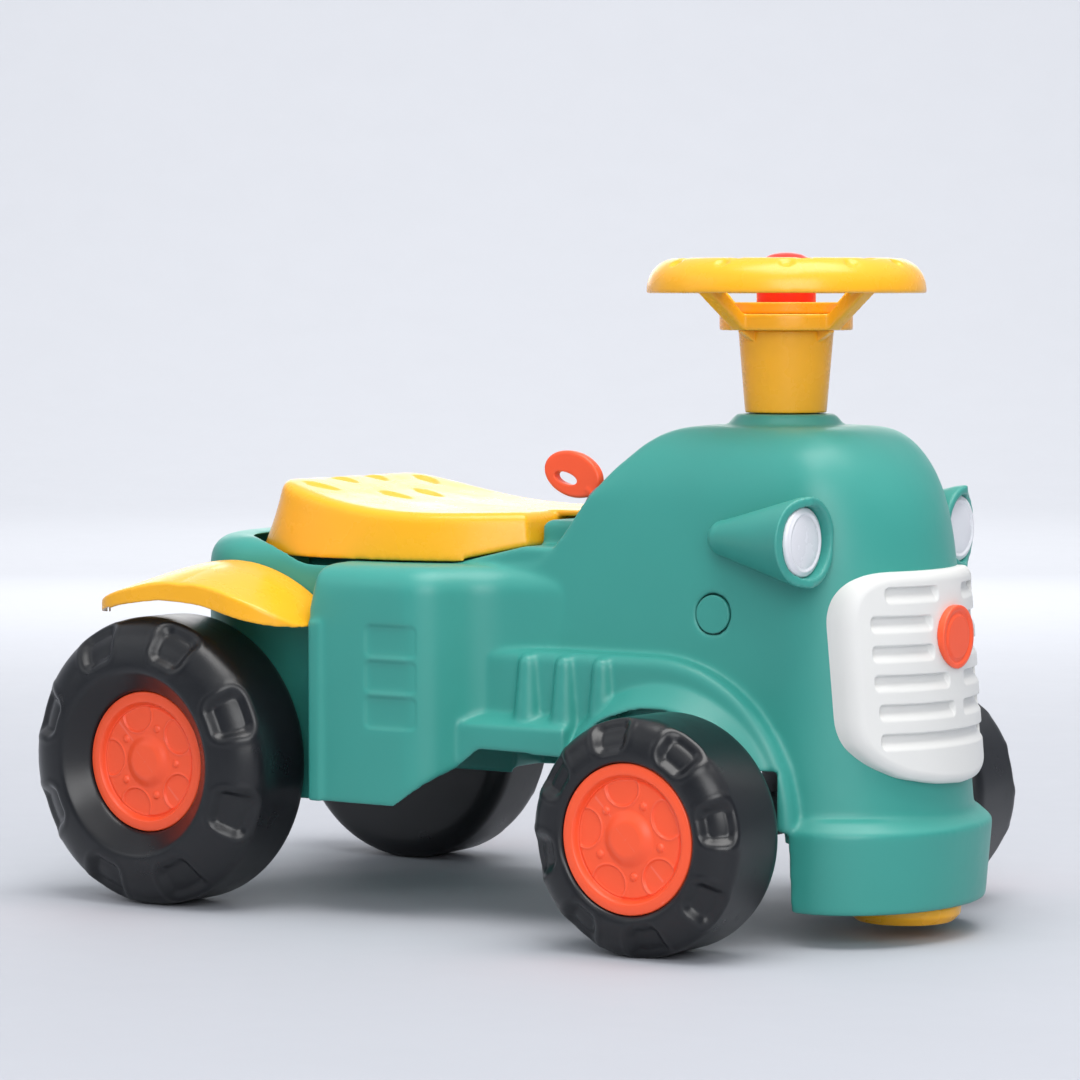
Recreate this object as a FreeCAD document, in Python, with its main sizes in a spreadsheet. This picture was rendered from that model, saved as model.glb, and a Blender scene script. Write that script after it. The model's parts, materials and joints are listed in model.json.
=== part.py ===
import FreeCAD, Part
import math
import os
from types import SimpleNamespace

import Sketcher
from FreeCAD import Placement, Rotation, Vector

# Driving dimensions, millimetres, degrees and counts.
# Heights are above the floor, "back" and "ahead" are distances from the front axle,
# "half" widths are measured from the middle plane of the tractor.
SIZES = {
    # running gear
    "wheelbase": 371.0,
    "front_overhang": 128.0,
    "rear_tyre_radius": 91.0,
    "rear_tyre_width": 66.0,
    "rear_face_half": 175.0,
    "rear_hub_inset": 13.0,
    "rear_lip_radius": 58.5,
    "front_tyre_radius": 70.0,
    "front_tyre_width": 63.0,
    "front_face_half": 180.0,
    "front_hub_inset": 1.5,
    "front_lip_radius": 48.0,
    "steer_angle": 15.0,
    "steer_gap": 2.0,
    "front_shoulder": 14.0,
    "rear_shoulder": 22.0,
    "tyre_inner_shoulder": 10.0,
    "tyre_inner_drop": 14.0,
    "tyre_wall": 3.0,
    "lug_count": 8,
    "front_lug": 24.0,
    "rear_lug": 30.0,
    "inner_lug": 13.0,
    "lug_depth": 4.5,
    "lug_round": 5.0,
    "hub_radius": 44.2,
    "hub_depth": 9.0,
    "hub_wall": 2.5,
    "hub_rim_width": 6.0,
    "hub_web_drop": 3.0,
    "hub_groove": 1.6,
    "hub_dome_radius": 15.0,
    "hub_dome_rise": 3.5,
    "hub_petal_count": 5,
    "hub_petal_place": 26.5,
    "hub_petal_radius": 8.5,
    "hub_petal_depth": 1.2,
    "hub_bolt_place": 21.5,
    "hub_bolt_radius": 2.2,
    "hub_bolt_rise": 1.4,
    "hub_fit": 0.2,
    "axle_radius": 5.0,
    "axle_end_gap": 1.0,
    "bush_wall": 3.0,
    "push_nut_radius": 9.0,
    "push_nut_thickness": 2.0,
    "running_fit": 0.06,
    "side_gap": 0.5,
    "axle_boss_radius": 15.0,
    "axle_bush_wall": 4.0,
    # body shell
    "wall": 3.0,
    "hood_top": 305.0,
    "hood_skirt": 60.0,
    "hood_half_low": 83.0,
    "hood_half_high": 77.0,
    "hood_nose_start": 45.0,
    "hood_nose_low": 75.0,
    "hood_nose_high": 60.0,
    "hood_back": 152.0,
    "dome_depth": 78.0,
    "dome_nose_inset": 46.0,
    "dome_side_depth": 46.0,
    "dome_side_inset": 36.0,
    "dash_top_back": 62.0,
    "dash_foot_back": 124.0,
    "dash_foot_height": 224.0,
    "dash_foot_round": 22.0,
    "dash_crest": 26.0,
    "deck_height": 218.0,
    "deck_ramp_back": 194.0,
    "deck_ramp_end_back": 142.0,
    "deck_ramp_rise": 12.0,
    "deck_ramp_half": 76.0,
    "console_back": 148.0,
    "console_half": 46.0,
    "console_height": 245.0,
    "console_round": 5.0,
    "hip_half": 128.0,
    "hip_rear_back": 268.0,
    "hip_front_back": 184.0,
    "hip_neck_back": 160.0,
    "hip_neck_half": 90.0,
    "hip_blend_back": 112.0,
    "hip_blend_half": 79.0,
    "hip_corner_round": 28.0,
    "hip_neck_round": 38.0,
    "hip_shoulder_round": 17.0,
    "hip_bottom": 70.0,
    "hip_bottom_end_back": 203.0,
    "bead_width": 10.0,
    "bead_rise": 2.0,
    "bead_top": 182.0,
    "hip_mark_count": 3,
    "hip_mark_back": 206.0,
    "hip_mark_width": 37.0,
    "hip_mark_height": 19.5,
    "hip_mark_pitch": 22.0,
    "hip_mark_low": 118.0,
    "hip_mark_depth": 1.2,
    "hip_mark_round": 4.0,
    "tail_half": 98.0,
    "tail_front_back": 236.0,
    "tail_straight_back": 345.0,
    "tail_end_back": 411.0,
    "tail_top": 231.0,
    "tail_round": 17.0,
    "tail_bottom": 66.0,
    "sill_rear_back": 155.0,
    "sill_rear_height": 106.5,
    "sill_front_back": 92.0,
    "sill_front_height": 104.5,
    "well_height": 104.0,
    "panel_half": 92.0,
    "panel_rear_back": 166.0,
    "panel_top": 168.0,
    "panel_edge_round": 7.0,
    "ridge_centre_back": 40.0,
    "ridge_radius": 98.0,
    "arch_centre_back": 29.0,
    "arch_centre_height": 72.0,
    "arch_radius": 80.0,
    "arch_lip_half": 107.0,
    "arch_lip_drop": 12.0,
    "flange_half": 106.0,
    "flange_rear_back": 188.0,
    "flange_top": 122.0,
    "flange_ledge_rise": 6.6,
    "rib_count": 3,
    "rib_first_back": 127.0,
    "rib_pitch": 27.0,
    "rib_low": 120.0,
    "rib_high": 160.0,
    "rib_low_radius": 9.5,
    "rib_high_radius": 6.0,
    "bumper_start": 54.0,
    "bumper_half": 88.0,
    "bumper_bottom": 20.0,
    "bumper_top": 68.0,
    "bumper_ledge": 8.0,
    "bumper_draft": 4.0,
    "bumper_tuck": 1.5,
    "collar_low_radius": 36.0,
    "collar_high_radius": 30.0,
    "collar_height": 7.0,
    "trim_gap": 0.4,
    # fenders
    "fender_front_back": 268.0,
    "fender_length": 152.0,
    "fender_tip_height": 180.0,
    "fender_rise": 36.0,
    "fender_half": 163.0,
    "fender_wall": 3.0,
    # front trim
    "grille_start": 60.0,
    "grille_low": 94.0,
    "grille_high": 221.0,
    "grille_proud": 8.0,
    "grille_slot_depth": 3.5,
    "grille_slot_height": 10.5,
    "grille_slot_pitch": 17.2,
    "grille_half": 71.5,
    "grille_margin": 8.0,
    "badge_radius": 19.0,
    "badge_height": 181.0,
    "badge_thickness": 4.0,
    "badge_ring_width": 3.0,
    "badge_ring_depth": 1.0,
    "lamp_height": 240.0,
    "lamp_half": 94.0,
    "lamp_ahead": 70.0,
    "lamp_length": 62.0,
    "lamp_radius": 27.0,
    "lamp_back_radius": 11.0,
    "lens_radius": 20.6,
    "lens_thickness": 3.0,
    "lens_recess": 4.0,
    "plug_radius": 11.5,
    "plug_back": 4.0,
    "plug_height": 194.0,
    "foot_ahead": 84.0,
    "foot_radius": 34.0,
    "foot_depth": 11.0,
    "foot_round": 5.0,
    # steering
    "shaft_radius": 6.0,
    "yoke_post_radius": 14.0,
    "yoke_post_top": 122.0,
    "yoke_half_depth": 12.0,
    "yoke_rise": 12.0,
    "bridge_thickness": 6.0,
    "bridge_half_depth": 38.0,
    "bridge_bush_wall": 4.0,
    "bridge_bush_flange": 3.0,
    "screw_radius": 2.0,
    "screw_head_radius": 4.0,
    "screw_head_height": 3.0,
    "screw_length": 12.0,
    "screw_place": 28.0,
    "column_gap": 0.6,
    "column_low_radius": 24.8,
    "column_high_radius": 29.0,
    "column_height": 50.0,
    "column_wall": 3.0,
    "ring_radius": 40.5,
    "ring_height": 10.0,
    "rim_low_radius": 85.0,
    "rim_high_radius": 68.0,
    "rim_inner_radius": 59.0,
    "rim_height": 21.0,
    "rim_lift": 22.5,
    "rim_round": 5.0,
    "rim_grip_count": 10,
    "rim_grip_radius": 7.0,
    "rim_grip_depth": 2.2,
    "spoke_count": 4,
    "spoke_width": 11.0,
    "spoke_wall": 3.0,
    "dish_radius": 33.5,
    "dish_height": 7.0,
    "horn_radius": 18.0,
    "horn_height": 33.0,
    "horn_dome": 10.0,
    "horn_travel": 4.0,
    "horn_wall": 2.5,
    "horn_flange": 1.5,
    "horn_guide_radius": 9.0,
    "horn_guide_height": 13.0,
    "spring_radius": 11.5,
    "spring_wire": 0.8,
    "spring_turns": 5,
    # seat
    "seat_front_back": 150.0,
    "seat_length": 222.0,
    "seat_half": 95.0,
    "seat_height": 48.0,
    "seat_wall": 3.5,
    "seat_draft": 9.0,
    "seat_round": 7.0,
    "seat_gap": 1.0,
    "seat_pocket_gap": 3.0,
    "tongue_half": 20.0,
    "hinge_back": 133.0,
    "hinge_height": 250.0,
    "hinge_pin_radius": 2.0,
    "hinge_barrel_radius": 4.5,
    "hinge_barrel_half": 13.0,
    "hinge_lug_width": 8.0,
    "bin_half": 68.0,
    "bin_front_back": 204.0,
    "bin_rear_back": 318.0,
    "bin_floor": 112.0,
    "bin_wall": 2.5,
    "bin_flange": 7.0,
    "bin_round": 10.0,
    # ignition key
    "key_half": 50.0,
    "key_height": 256.7,
    "key_collar_radius": 12.0,
    "key_collar_rise": 7.0,
    "key_collar_chamfer": 1.5,
    "key_stem_radius": 4.0,
    "key_grip_place": 28.4,
    "key_grip_length": 42.0,
    "key_grip_width": 28.0,
    "key_grip_thickness": 7.0,
    "key_grip_lean": 22.0,
    "key_hole_length": 17.0,
    "key_hole_width": 7.0,
    # overrun that lets every cut leave its solid cleanly
    "overrun": 20.0,
}

# Hand-chosen shares of the sizes that they follow
SEAT_PLAN_SHARES = [(0.0, 0.60), (0.10, 0.74), (0.28, 0.93), (0.48, 1.0), (0.68, 0.98), (0.86, 0.80),
                    (0.97, 0.44)]
SEAT_TOP_SHARES = [(-0.08, 0.66), (0.0, 0.66), (0.14, 0.65), (0.32, 0.65), (0.50, 0.72), (0.68, 0.88),
                   (0.81, 1.0), (0.90, 0.98), (0.96, 0.88), (1.02, 0.70)]
FENDER_TOP_SHARES = [(0.0, 0.0), (0.08, 0.33), (0.24, 0.74), (0.42, 0.97), (0.56, 1.0), (0.78, 0.80),
                     (1.0, 0.34)]
FENDER_EDGE_SHARES = [(1.0, 0.02), (0.82, 0.24), (0.60, 0.36), (0.38, 0.30), (0.18, 0.08), (0.0, -0.06)]
FENDER_PLAN_SHARES = [(0.0, 0.42), (0.06, 0.80), (0.20, 0.98), (0.40, 1.0), (0.75, 1.0), (0.93, 0.90),
                      (1.0, 0.62)]
GRILLE_SLOT_SHARES = [(0.20, 0.74), (0.30, 0.86), (0.30, 0.86), (0.12, 0.86), (0.07, 0.84), (0.0, 0.84)]
DASH_CREST_SHARES = [(0.84, -0.02), (0.42, 0.03), (0.08, 0.16), (-0.22, 0.40), (-0.50, 0.72),
                     (-0.765, 1.0)]
DOME_ANGLE_SHARES = [0.0, 0.16, 0.32, 0.48, 0.64, 0.80, 0.92, 1.0]
SKIRT_LEVEL_SHARES = [0.0, 0.4, 0.75]
GRILLE_OUTLINE_SHARES = [(0.0, 0.0), (0.34, 0.01), (0.66, 0.045), (0.86, 0.11), (0.97, 0.19), (1.0, 0.28),
                         (1.0, 0.80), (0.97, 0.89), (0.90, 0.955), (0.78, 0.99), (0.64, 1.0), (0.0, 1.0)]
SLOT_ROUND_SHARE = 0.4
SPRING_SEAT_SHARE = 1.25
STEER_SHARES = [0.5, 0.75, 1.0]
HORN_DOME_SHARES = [(0.95, 0.30), (0.80, 0.62), (0.52, 0.87), (0.26, 0.97)]
KEY_ROUND_SHARE = 0.3
QUARTER_TURN_SHARES = [0.0, 0.2, 0.4, 0.6, 0.8, 1.0]
LUG_TURN_SHARE = 0.46
RIM_CURVE_SHARES = [(1.0, 0.0), (0.97, 0.28), (0.80, 0.62), (0.42, 0.90), (0.0, 1.0)]


class Term:
    """A length with its value and the spreadsheet expression that gives it."""

    def __init__(self, value, text):
        self.value = value
        self.text = text

    def __add__(self, other):
        return Term(self.value + other.value, f"({self.text} + {other.text})")

    def __sub__(self, other):
        return Term(self.value - other.value, f"({self.text} - {other.text})")

    def times(self, factor):
        return Term(self.value * factor, f"({self.text} * {factor})")


doc = FreeCAD.newDocument("RideOnTractor")
sheet = doc.addObject("Spreadsheet::Sheet", "Sizes")
for row, (alias, number) in enumerate(SIZES.items(), start=1):
    sheet.set(f"A{row}", alias)
    sheet.set(f"B{row}", str(number))
    sheet.setAlias(f"B{row}", alias)
doc.recompute()

d = SimpleNamespace(**{alias: float(sheet.get(alias)) for alias in SIZES})
t = SimpleNamespace(**{alias: Term(float(sheet.get(alias)), f"Sizes.{alias}") for alias in SIZES})
ZERO = Term(0.0, "0")

# Places worked out from the driving dimensions, with the origin under the middle of the tractor
overall_length = d.rear_tyre_radius + d.wheelbase + d.front_overhang
front_x = overall_length / 2 - d.front_overhang
rear_x = front_x - d.wheelbase
far = overall_length
SIDES = {"left": 1, "right": -1}
X_AXIS, Y_AXIS, Z_AXIS = Vector(1, 0, 0), Vector(0, 1, 0), Vector(0, 0, 1)
nodes = []


def keep(item, label):
    """Names a finished sub-part, so that it is written out under this label."""
    item.Label = label
    nodes.append(item)
    return item


def feature(label, shape, placement=None):
    """A sub-part whose shape is worked out here from the spreadsheet's sizes."""
    item = doc.addObject("Part::Feature", label)
    item.Shape = shape
    if placement is not None:
        item.Placement = placement
    return keep(item, label)


def bind(item, **terms):
    """Ties properties of a document object to spreadsheet expressions."""
    for name, term in terms.items():
        item.setExpression(name, term.text)
    return item


def cylinder(name, radius, height, placement=None):
    item = bind(doc.addObject("Part::Cylinder", name), Radius=radius, Height=height)
    if placement is not None:
        item.Placement = placement
    return item


def cut(name, base, tool):
    item = doc.addObject("Part::Cut", name)
    item.Base = base
    item.Tool = tool
    return item


def ring(name, outer, inner, height, placement):
    """A plain ring, made of two cylinders on one axis."""
    return cut(name, cylinder(name + "_outside", outer, height, placement),
               cylinder(name + "_bore", inner, height, placement))


def group(label, items):
    """Several separate solids that share one sub-part."""
    item = doc.addObject("Part::Compound", label)
    item.Links = items
    return keep(item, label)


def body_plane(body, role):
    return next(plane for plane in body.Origin.OriginFeatures if plane.Role == role)


def add_outline(sketch, points):
    """Draws a closed outline and ties each corner to its two expressions."""
    count = len(points)
    corners = [Vector(along.value, up.value, 0) for along, up in points]
    for index in range(count):
        sketch.addGeometry(Part.LineSegment(corners[index], corners[(index + 1) % count]))
    for index in range(count):
        sketch.addConstraint(Sketcher.Constraint("Coincident", index, 2, (index + 1) % count, 1))
    for index, (along, up) in enumerate(points):
        for kind, axis, term in (("DistanceX", -2, along), ("DistanceY", -1, up)):
            if term.value == 0:
                sketch.addConstraint(Sketcher.Constraint("PointOnObject", index, 1, axis))
            else:
                number = sketch.addConstraint(Sketcher.Constraint(kind, -1, 1, index, 1, term.value))
                sketch.setExpression(f"Constraints[{number}]", term.text)


def turned(label, points, placement):
    """A turned piece: a radius and height outline revolved about its own Z axis."""
    body = doc.addObject("PartDesign::Body", label)
    sketch = body.newObject("Sketcher::SketchObject", label + "_section")
    sketch.AttachmentSupport = [(body_plane(body, "XZ_Plane"), "")]
    sketch.MapMode = "FlatFace"
    add_outline(sketch, points)
    turn = body.newObject("PartDesign::Revolution", label + "_turn")
    turn.Profile = sketch
    turn.ReferenceAxis = (sketch, ["V_Axis"])
    turn.Angle = 360
    body.Placement = placement
    return keep(body, label)


def at(x, y, z, rotation=None):
    return Placement(Vector(x, y, z), rotation or Rotation())


def along_y(x, y, z, side=1):
    """Placement that turns a piece's own Z axis to +Y, or to -Y on the other side."""
    return at(x, y, z, Rotation(X_AXIS, -90 * side))


def face_of(points):
    return Part.Face(Part.makePolygon(points + points[:1]))


def prism(points, direction):
    """A solid between an outline and its copy moved along one direction."""
    return face_of(points).extrude(direction)


def smooth_edge(points):
    """An edge that runs smoothly through hand-placed points."""
    curve = Part.BSplineCurve()
    curve.interpolate(points)
    return curve.toShape()


def straight_edges(points):
    return [Part.LineSegment(*ends).toShape() for ends in zip(points, points[1:])]


def smooth_wire(points):
    """A closed wire through hand-placed points, one straight edge from the last to the first."""
    return Part.Wire([smooth_edge(points)] + straight_edges([points[-1], points[0]]))


def edges_where(shape, test):
    return [edge for edge in shape.Edges if test(edge)]


def upright_edges(shape):
    return edges_where(shape, lambda edge: abs(edge.tangentAt(edge.FirstParameter).z) > 0.9)


def mirrored(shape):
    return shape.mirror(Vector(), Y_AXIS)


def both_sides(shape):
    """A shape on the right side together with its mirror image on the left."""
    return [shape, mirrored(shape)]


def bow_wire(start_x, nose, half, back_x, z):
    """Level outline with straight sides and a half-elliptic front."""
    right, left = Vector(start_x, -half, z), Vector(start_x, half, z)
    major, minor = max(half, nose), min(half, nose)
    axis = Y_AXIS if half >= nose else X_AXIS
    ellipse = Part.Ellipse(Vector(start_x, 0, z) + axis * major, Vector(start_x, 0, z)
                           + (X_AXIS if half >= nose else Y_AXIS) * minor, Vector(start_x, 0, z))
    tip = Vector(start_x + nose, 0, z)
    first, last, middle = (ellipse.parameter(point) for point in (right, left, tip))
    arcs = [Part.Arc(ellipse, *sorted_span(first, middle)).toShape(),
            Part.Arc(ellipse, *sorted_span(middle, last)).toShape()]
    back_right, back_left = Vector(back_x, -half, z), Vector(back_x, half, z)
    lines = straight_edges([left, back_left, back_right, right])
    return Part.Wire(Part.__sortEdges__(arcs + lines))


def sorted_span(first, last):
    """The quarter-turn parameter span between two points of an ellipse."""
    low, high = min(first, last), max(first, last)
    if high - low > math.pi:
        low, high = high, low + 2 * math.pi
    return low, high


def hood(inset, proud=0.0):
    """The rounded bonnet: level bow outlines lofted up to the domed top."""
    dome_start = d.hood_top - d.dome_depth
    levels = [d.hood_skirt + (dome_start - d.hood_skirt) * share for share in SKIRT_LEVEL_SHARES]
    levels += [dome_start + d.dome_depth * math.sin(share * math.pi / 2) for share in DOME_ANGLE_SHARES]
    wires = []
    for level in levels:
        lean = (level - d.hood_skirt) / (dome_start - d.hood_skirt)
        nose = d.hood_nose_low + (d.hood_nose_high - d.hood_nose_low) * lean
        half = d.hood_half_low + (d.hood_half_high - d.hood_half_low) * lean
        nose -= quarter_drop(level, d.dome_depth) * d.dome_nose_inset
        half -= quarter_drop(level, d.dome_side_depth) * d.dome_side_inset
        wires.append(bow_wire(front_x + d.hood_nose_start, nose - inset + proud, half - inset + proud,
                              front_x - d.hood_back, level - inset))
    return Part.makeLoft(wires, True, True)


def quarter_drop(level, depth):
    """How far an elliptic shoulder has drawn in at a level, from 0 to 1 at the very top."""
    rise = max(0.0, (level - (d.hood_top - depth)) / depth)
    return 1 - math.sqrt(max(0.0, 1 - rise * rise))


def dash_cutter(inset):
    """Everything behind and above the sloping dashboard, with a rounded foot."""
    slope = (d.dash_foot_back - d.dash_top_back) / (d.hood_top - d.dash_foot_height)
    shift = inset * math.sqrt(1 + slope * slope)
    top_x = front_x - d.dash_top_back + shift
    foot_x = front_x - d.dash_foot_back + shift - slope * (d.dash_foot_height - d.deck_height)
    top = d.hood_top - inset
    crest = [Vector(top_x + d.dash_crest * ahead, -far, top - d.dash_crest * below)
             for ahead, below in DASH_CREST_SHARES]
    deck, sky = d.deck_height - inset, d.hood_top + d.overrun
    points = crest + [Vector(foot_x, -far, deck), Vector(-far, -far, deck), Vector(-far, -far, sky),
                      Vector(crest[0].x, -far, sky)]
    block = prism(points, Y_AXIS * 2 * far)
    foot = edges_where(block, lambda edge: abs(edge.CenterOfMass.x - foot_x) < d.wall
                       and abs(edge.CenterOfMass.z - (d.deck_height - inset)) < d.wall)
    return block.makeFillet(d.dash_foot_round, foot)


def hip_block(inset, bottom):
    """The wide block in front of the rear wheels, with rounded corners and shoulders."""
    rear, front = front_x - d.hip_rear_back + inset, front_x - d.hip_front_back - inset
    neck, blend = front_x - d.hip_neck_back - inset, front_x - d.hip_blend_back - inset
    right = [(rear, d.hip_half), (front, d.hip_half), (neck, d.hip_neck_half), (blend, d.hip_blend_half)]
    points = [Vector(x, inset - half, bottom) for x, half in right]
    points += [Vector(point.x, -point.y, bottom) for point in reversed(points)]
    top = d.deck_height - inset
    block = prism(points, Z_AXIS * (top - bottom))
    for place, radius in ((front, d.hip_corner_round), (neck, d.hip_neck_round)):
        corners = edges_where(block, lambda edge: abs(edge.CenterOfMass.x - place) < d.wall
                              and abs(edge.CenterOfMass.z - (top + bottom) / 2) < d.wall)
        block = block.makeFillet(radius, corners)
    shoulders = edges_where(block, lambda edge: abs(edge.CenterOfMass.z - top) < d.wall / 2
                            and abs(edge.CenterOfMass.y) > d.hip_blend_half / 2)
    return block.makeFillet(d.hip_shoulder_round - inset, shoulders)


def tail_block(inset, bottom):
    """The narrow rear of the body between the wheels, rounded behind and along its rim."""
    straight = front_x - d.tail_straight_back
    nose, half = d.tail_end_back - d.tail_straight_back - inset, d.tail_half - inset
    front = front_x - d.tail_front_back
    wire = bow_wire(-straight, nose, half, -front, bottom)
    top = d.tail_top - inset
    block = Part.Face(wire).extrude(Z_AXIS * (top - bottom)).rotated(Vector(), Z_AXIS, 180)
    rim = edges_where(block, lambda edge: abs(edge.CenterOfMass.z - top) < d.wall / 2
                      and edge.CenterOfMass.x < front - d.wall)
    slope = [Vector(straight, -far, top), Vector(front, -far, d.deck_height - inset - d.wall),
             Vector(front, -far, top + d.overrun), Vector(straight, -far, top + d.overrun)]
    return block.makeFillet(d.tail_round - inset, rim).cut(prism(slope, Y_AXIS * 2 * far))


def seat_outline(margin, level):
    """The seat's plan outline at a level, widened by a margin."""
    length, half = d.seat_length + 2 * margin, d.seat_half + margin
    start = front_x - d.seat_front_back + margin
    right = [Vector(start - length * along, -half * share, level) for along, share in SEAT_PLAN_SHARES]
    tip = [Vector(start - length, 0, level)]
    left = [Vector(point.x, -point.y, level) for point in reversed(right)]
    return smooth_wire(right + tip + left)


def seat_form(margin, low, high):
    """The seat's sides, which draw in a little from bottom to top."""
    return Part.makeLoft([seat_outline(margin, low), seat_outline(margin - d.seat_draft, high)], True, True)


def console_block(inset):
    """The small block between seat and dashboard, with the ramp that carries the seat's front."""
    back, ahead = front_x - d.console_back + inset, front_x - d.dash_top_back
    low, half = d.deck_height - d.overrun, d.console_half - inset
    block = Part.makeBox(ahead - back, 2 * half, d.console_height - inset - low, Vector(back, -half, low))
    upper = edges_where(block, lambda edge: edge.CenterOfMass.z > d.console_height - inset - d.wall
                        and edge.CenterOfMass.x < ahead - d.wall)
    block = block.makeFillet(d.console_round, upper)
    deck, half = d.deck_height - inset, d.deck_ramp_half - inset
    points = [Vector(front_x - d.deck_ramp_back, -half, deck),
              Vector(front_x - d.deck_ramp_end_back, -half, deck + d.deck_ramp_rise),
              Vector(front_x - d.dash_top_back, -half, deck + d.deck_ramp_rise),
              Vector(front_x - d.dash_top_back, -half, low), Vector(front_x - d.deck_ramp_back, -half, low)]
    return [block, prism(points, Y_AXIS * 2 * half)]


def side_panel(inset):
    """The stepped panel on the right flank with the front wheel arch cut out of it."""
    back, top = front_x - d.panel_rear_back + inset, d.panel_top - inset
    inner, outer = d.hood_half_high / 2, d.panel_half - inset
    ridge = front_x - d.ridge_centre_back
    radius = d.ridge_radius - inset
    low = d.panel_top - d.ridge_radius
    turn = math.sqrt(0.5)
    arc = Part.Arc(Vector(ridge, -inner, top), Vector(ridge + radius * turn, -inner, low + radius * turn),
                   Vector(ridge + radius, -inner, low)).toShape()
    foot = d.bumper_top
    corners = [Vector(x, -inner, z) for x, z in (
        (ridge + radius, low), (ridge + radius, foot), (back, foot), (back, top), (ridge, top))]
    panel = Part.Face(Part.Wire([arc] + straight_edges(corners))).extrude(Y_AXIS * (inner - outer))
    outline = edges_where(panel, lambda edge: abs(edge.CenterOfMass.y + outer) < d.wall / 2
                          and edge.CenterOfMass.z > low + d.wall)
    return panel.makeFillet(d.panel_edge_round, outline)


def arch_axis_point(y):
    return Vector(front_x - d.arch_centre_back, y, d.arch_centre_height)


def arch_opening():
    """Room for the front wheel: an upright arch through the right flank."""
    radius = d.arch_radius - d.wall
    start = arch_axis_point(-d.panel_half - d.overrun)
    reach = d.panel_half + d.overrun - d.hood_half_low
    arch = Part.makeCylinder(radius, reach, start, Y_AXIS)
    below = Part.makeBox(2 * radius, reach, d.arch_centre_height, Vector(start.x - radius, start.y, 0))
    return arch.fuse(below)


def arch_lip():
    """The flared lip over the front wheel, a half cone that reaches out from the panel."""
    root = d.hood_half_high
    spread = d.arch_lip_drop / (d.arch_lip_half - d.panel_half)
    root_radius = d.arch_radius + spread * (d.panel_half - root)
    end_radius = d.arch_radius - d.arch_lip_drop
    start, reach = arch_axis_point(-root), d.arch_lip_half - root
    outside = Part.makeCone(root_radius, end_radius, reach, start, -Y_AXIS)
    inside = Part.makeCone(root_radius - d.wall, end_radius - d.wall, reach, start, -Y_AXIS)
    lip = outside.cut(inside)
    keeper = Part.makeBox(2 * far, 2 * far, far, Vector(-far, -far, d.well_height))
    return lip.common(keeper).cut(steering_room())


def steering_room():
    """Where the right front tyre goes as it is steered, with a gap round it."""
    gap = d.steer_gap
    section = tyre_section(d.front_tyre_radius + gap, d.front_tyre_width + 2 * gap, d.front_hub_inset,
                           d.front_lip_radius, d.front_shoulder, 0)
    wheel = section.revolve(Vector(), Z_AXIS, 360)
    wheel.Placement = along_y(front_x, -d.front_face_half - gap, d.front_tyre_radius, 1)
    return [wheel.rotated(Vector(front_x, 0, 0), Z_AXIS, -d.steer_angle * share)
            for share in STEER_SHARES]


def flange(inset):
    """The running board's lower flange with its sloping ledge."""
    back, ahead = front_x - d.flange_rear_back + inset, front_x - d.sill_front_back - inset
    inner, outer = d.hood_half_high / 2, d.flange_half - inset
    low, top = d.hip_bottom, d.flange_top - inset
    points = [Vector(back, -inner, low), Vector(back, -outer, low), Vector(back, -outer, top),
              Vector(back, -d.panel_half + inset, top + d.flange_ledge_rise),
              Vector(back, -inner, top + d.flange_ledge_rise)]
    return prism(points, X_AXIS * (ahead - back))


def ribs():
    """Raised tapering ribs on the right flank's panel."""
    solids = []
    for index in range(int(d.rib_count)):
        x = front_x - d.rib_first_back + index * d.rib_pitch
        foot = Vector(x, -d.panel_half, d.rib_low)
        cone = Part.makeCone(d.rib_low_radius, d.rib_high_radius, d.rib_high - d.rib_low, foot, Z_AXIS)
        cap = Part.makeSphere(d.rib_high_radius, Vector(x, -d.panel_half, d.rib_high))
        rib = cone.fuse(cap)
        keeper = Part.makeBox(d.rib_low_radius * 2, d.rib_low_radius * 2, far,
                              Vector(x - d.rib_low_radius, -d.panel_half - d.rib_low_radius, 0))
        solids.append(rib.common(keeper))
    return solids


def bumper(inset):
    """The low front bumper with its sloping ledge and closed floor."""
    start, back = front_x + d.bumper_start, front_x + d.bumper_start + inset
    nose, half = d.front_overhang - d.bumper_start - inset, d.bumper_half - inset
    ledge_foot = d.bumper_top - inset
    top = ledge_foot + d.bumper_ledge
    lean = (top - d.hood_skirt) / (d.hood_top - d.dome_depth - d.hood_skirt)
    tuck = inset + d.bumper_tuck
    hood_nose = d.hood_nose_low + (d.hood_nose_high - d.hood_nose_low) * lean - tuck
    hood_half = d.hood_half_low + (d.hood_half_high - d.hood_half_low) * lean - tuck
    hood_nose += d.hood_nose_start - d.bumper_start
    levels = [(d.bumper_bottom + inset, nose - d.bumper_draft, half - d.bumper_draft),
              (ledge_foot, nose, half), (top, hood_nose, hood_half)]
    wires = [bow_wire(start + d.overrun / 2, grow - d.overrun / 2, wide, back, level)
             for level, grow, wide in levels]
    return Part.makeLoft(wires, True, True)


def belly_cutter():
    """Everything below the open underside of the shell."""
    floor = -d.overrun
    rim = front_x - d.arch_centre_back + d.arch_radius - d.wall
    hip_rear, sill_front = front_x - d.hip_rear_back, front_x - d.sill_front_back
    profile = [(-far, d.tail_bottom), (hip_rear, d.tail_bottom), (hip_rear, d.hip_bottom),
               (front_x - d.hip_bottom_end_back, d.hip_bottom),
               (front_x - d.sill_rear_back, d.sill_rear_height),
               (sill_front, d.sill_front_height), (sill_front, d.well_height), (rim, d.well_height),
               (rim, floor), (-far, floor)]
    points = [Vector(x, -far, z) for x, z in profile]
    return prism(points, Y_AXIS * 2 * far)


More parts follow.
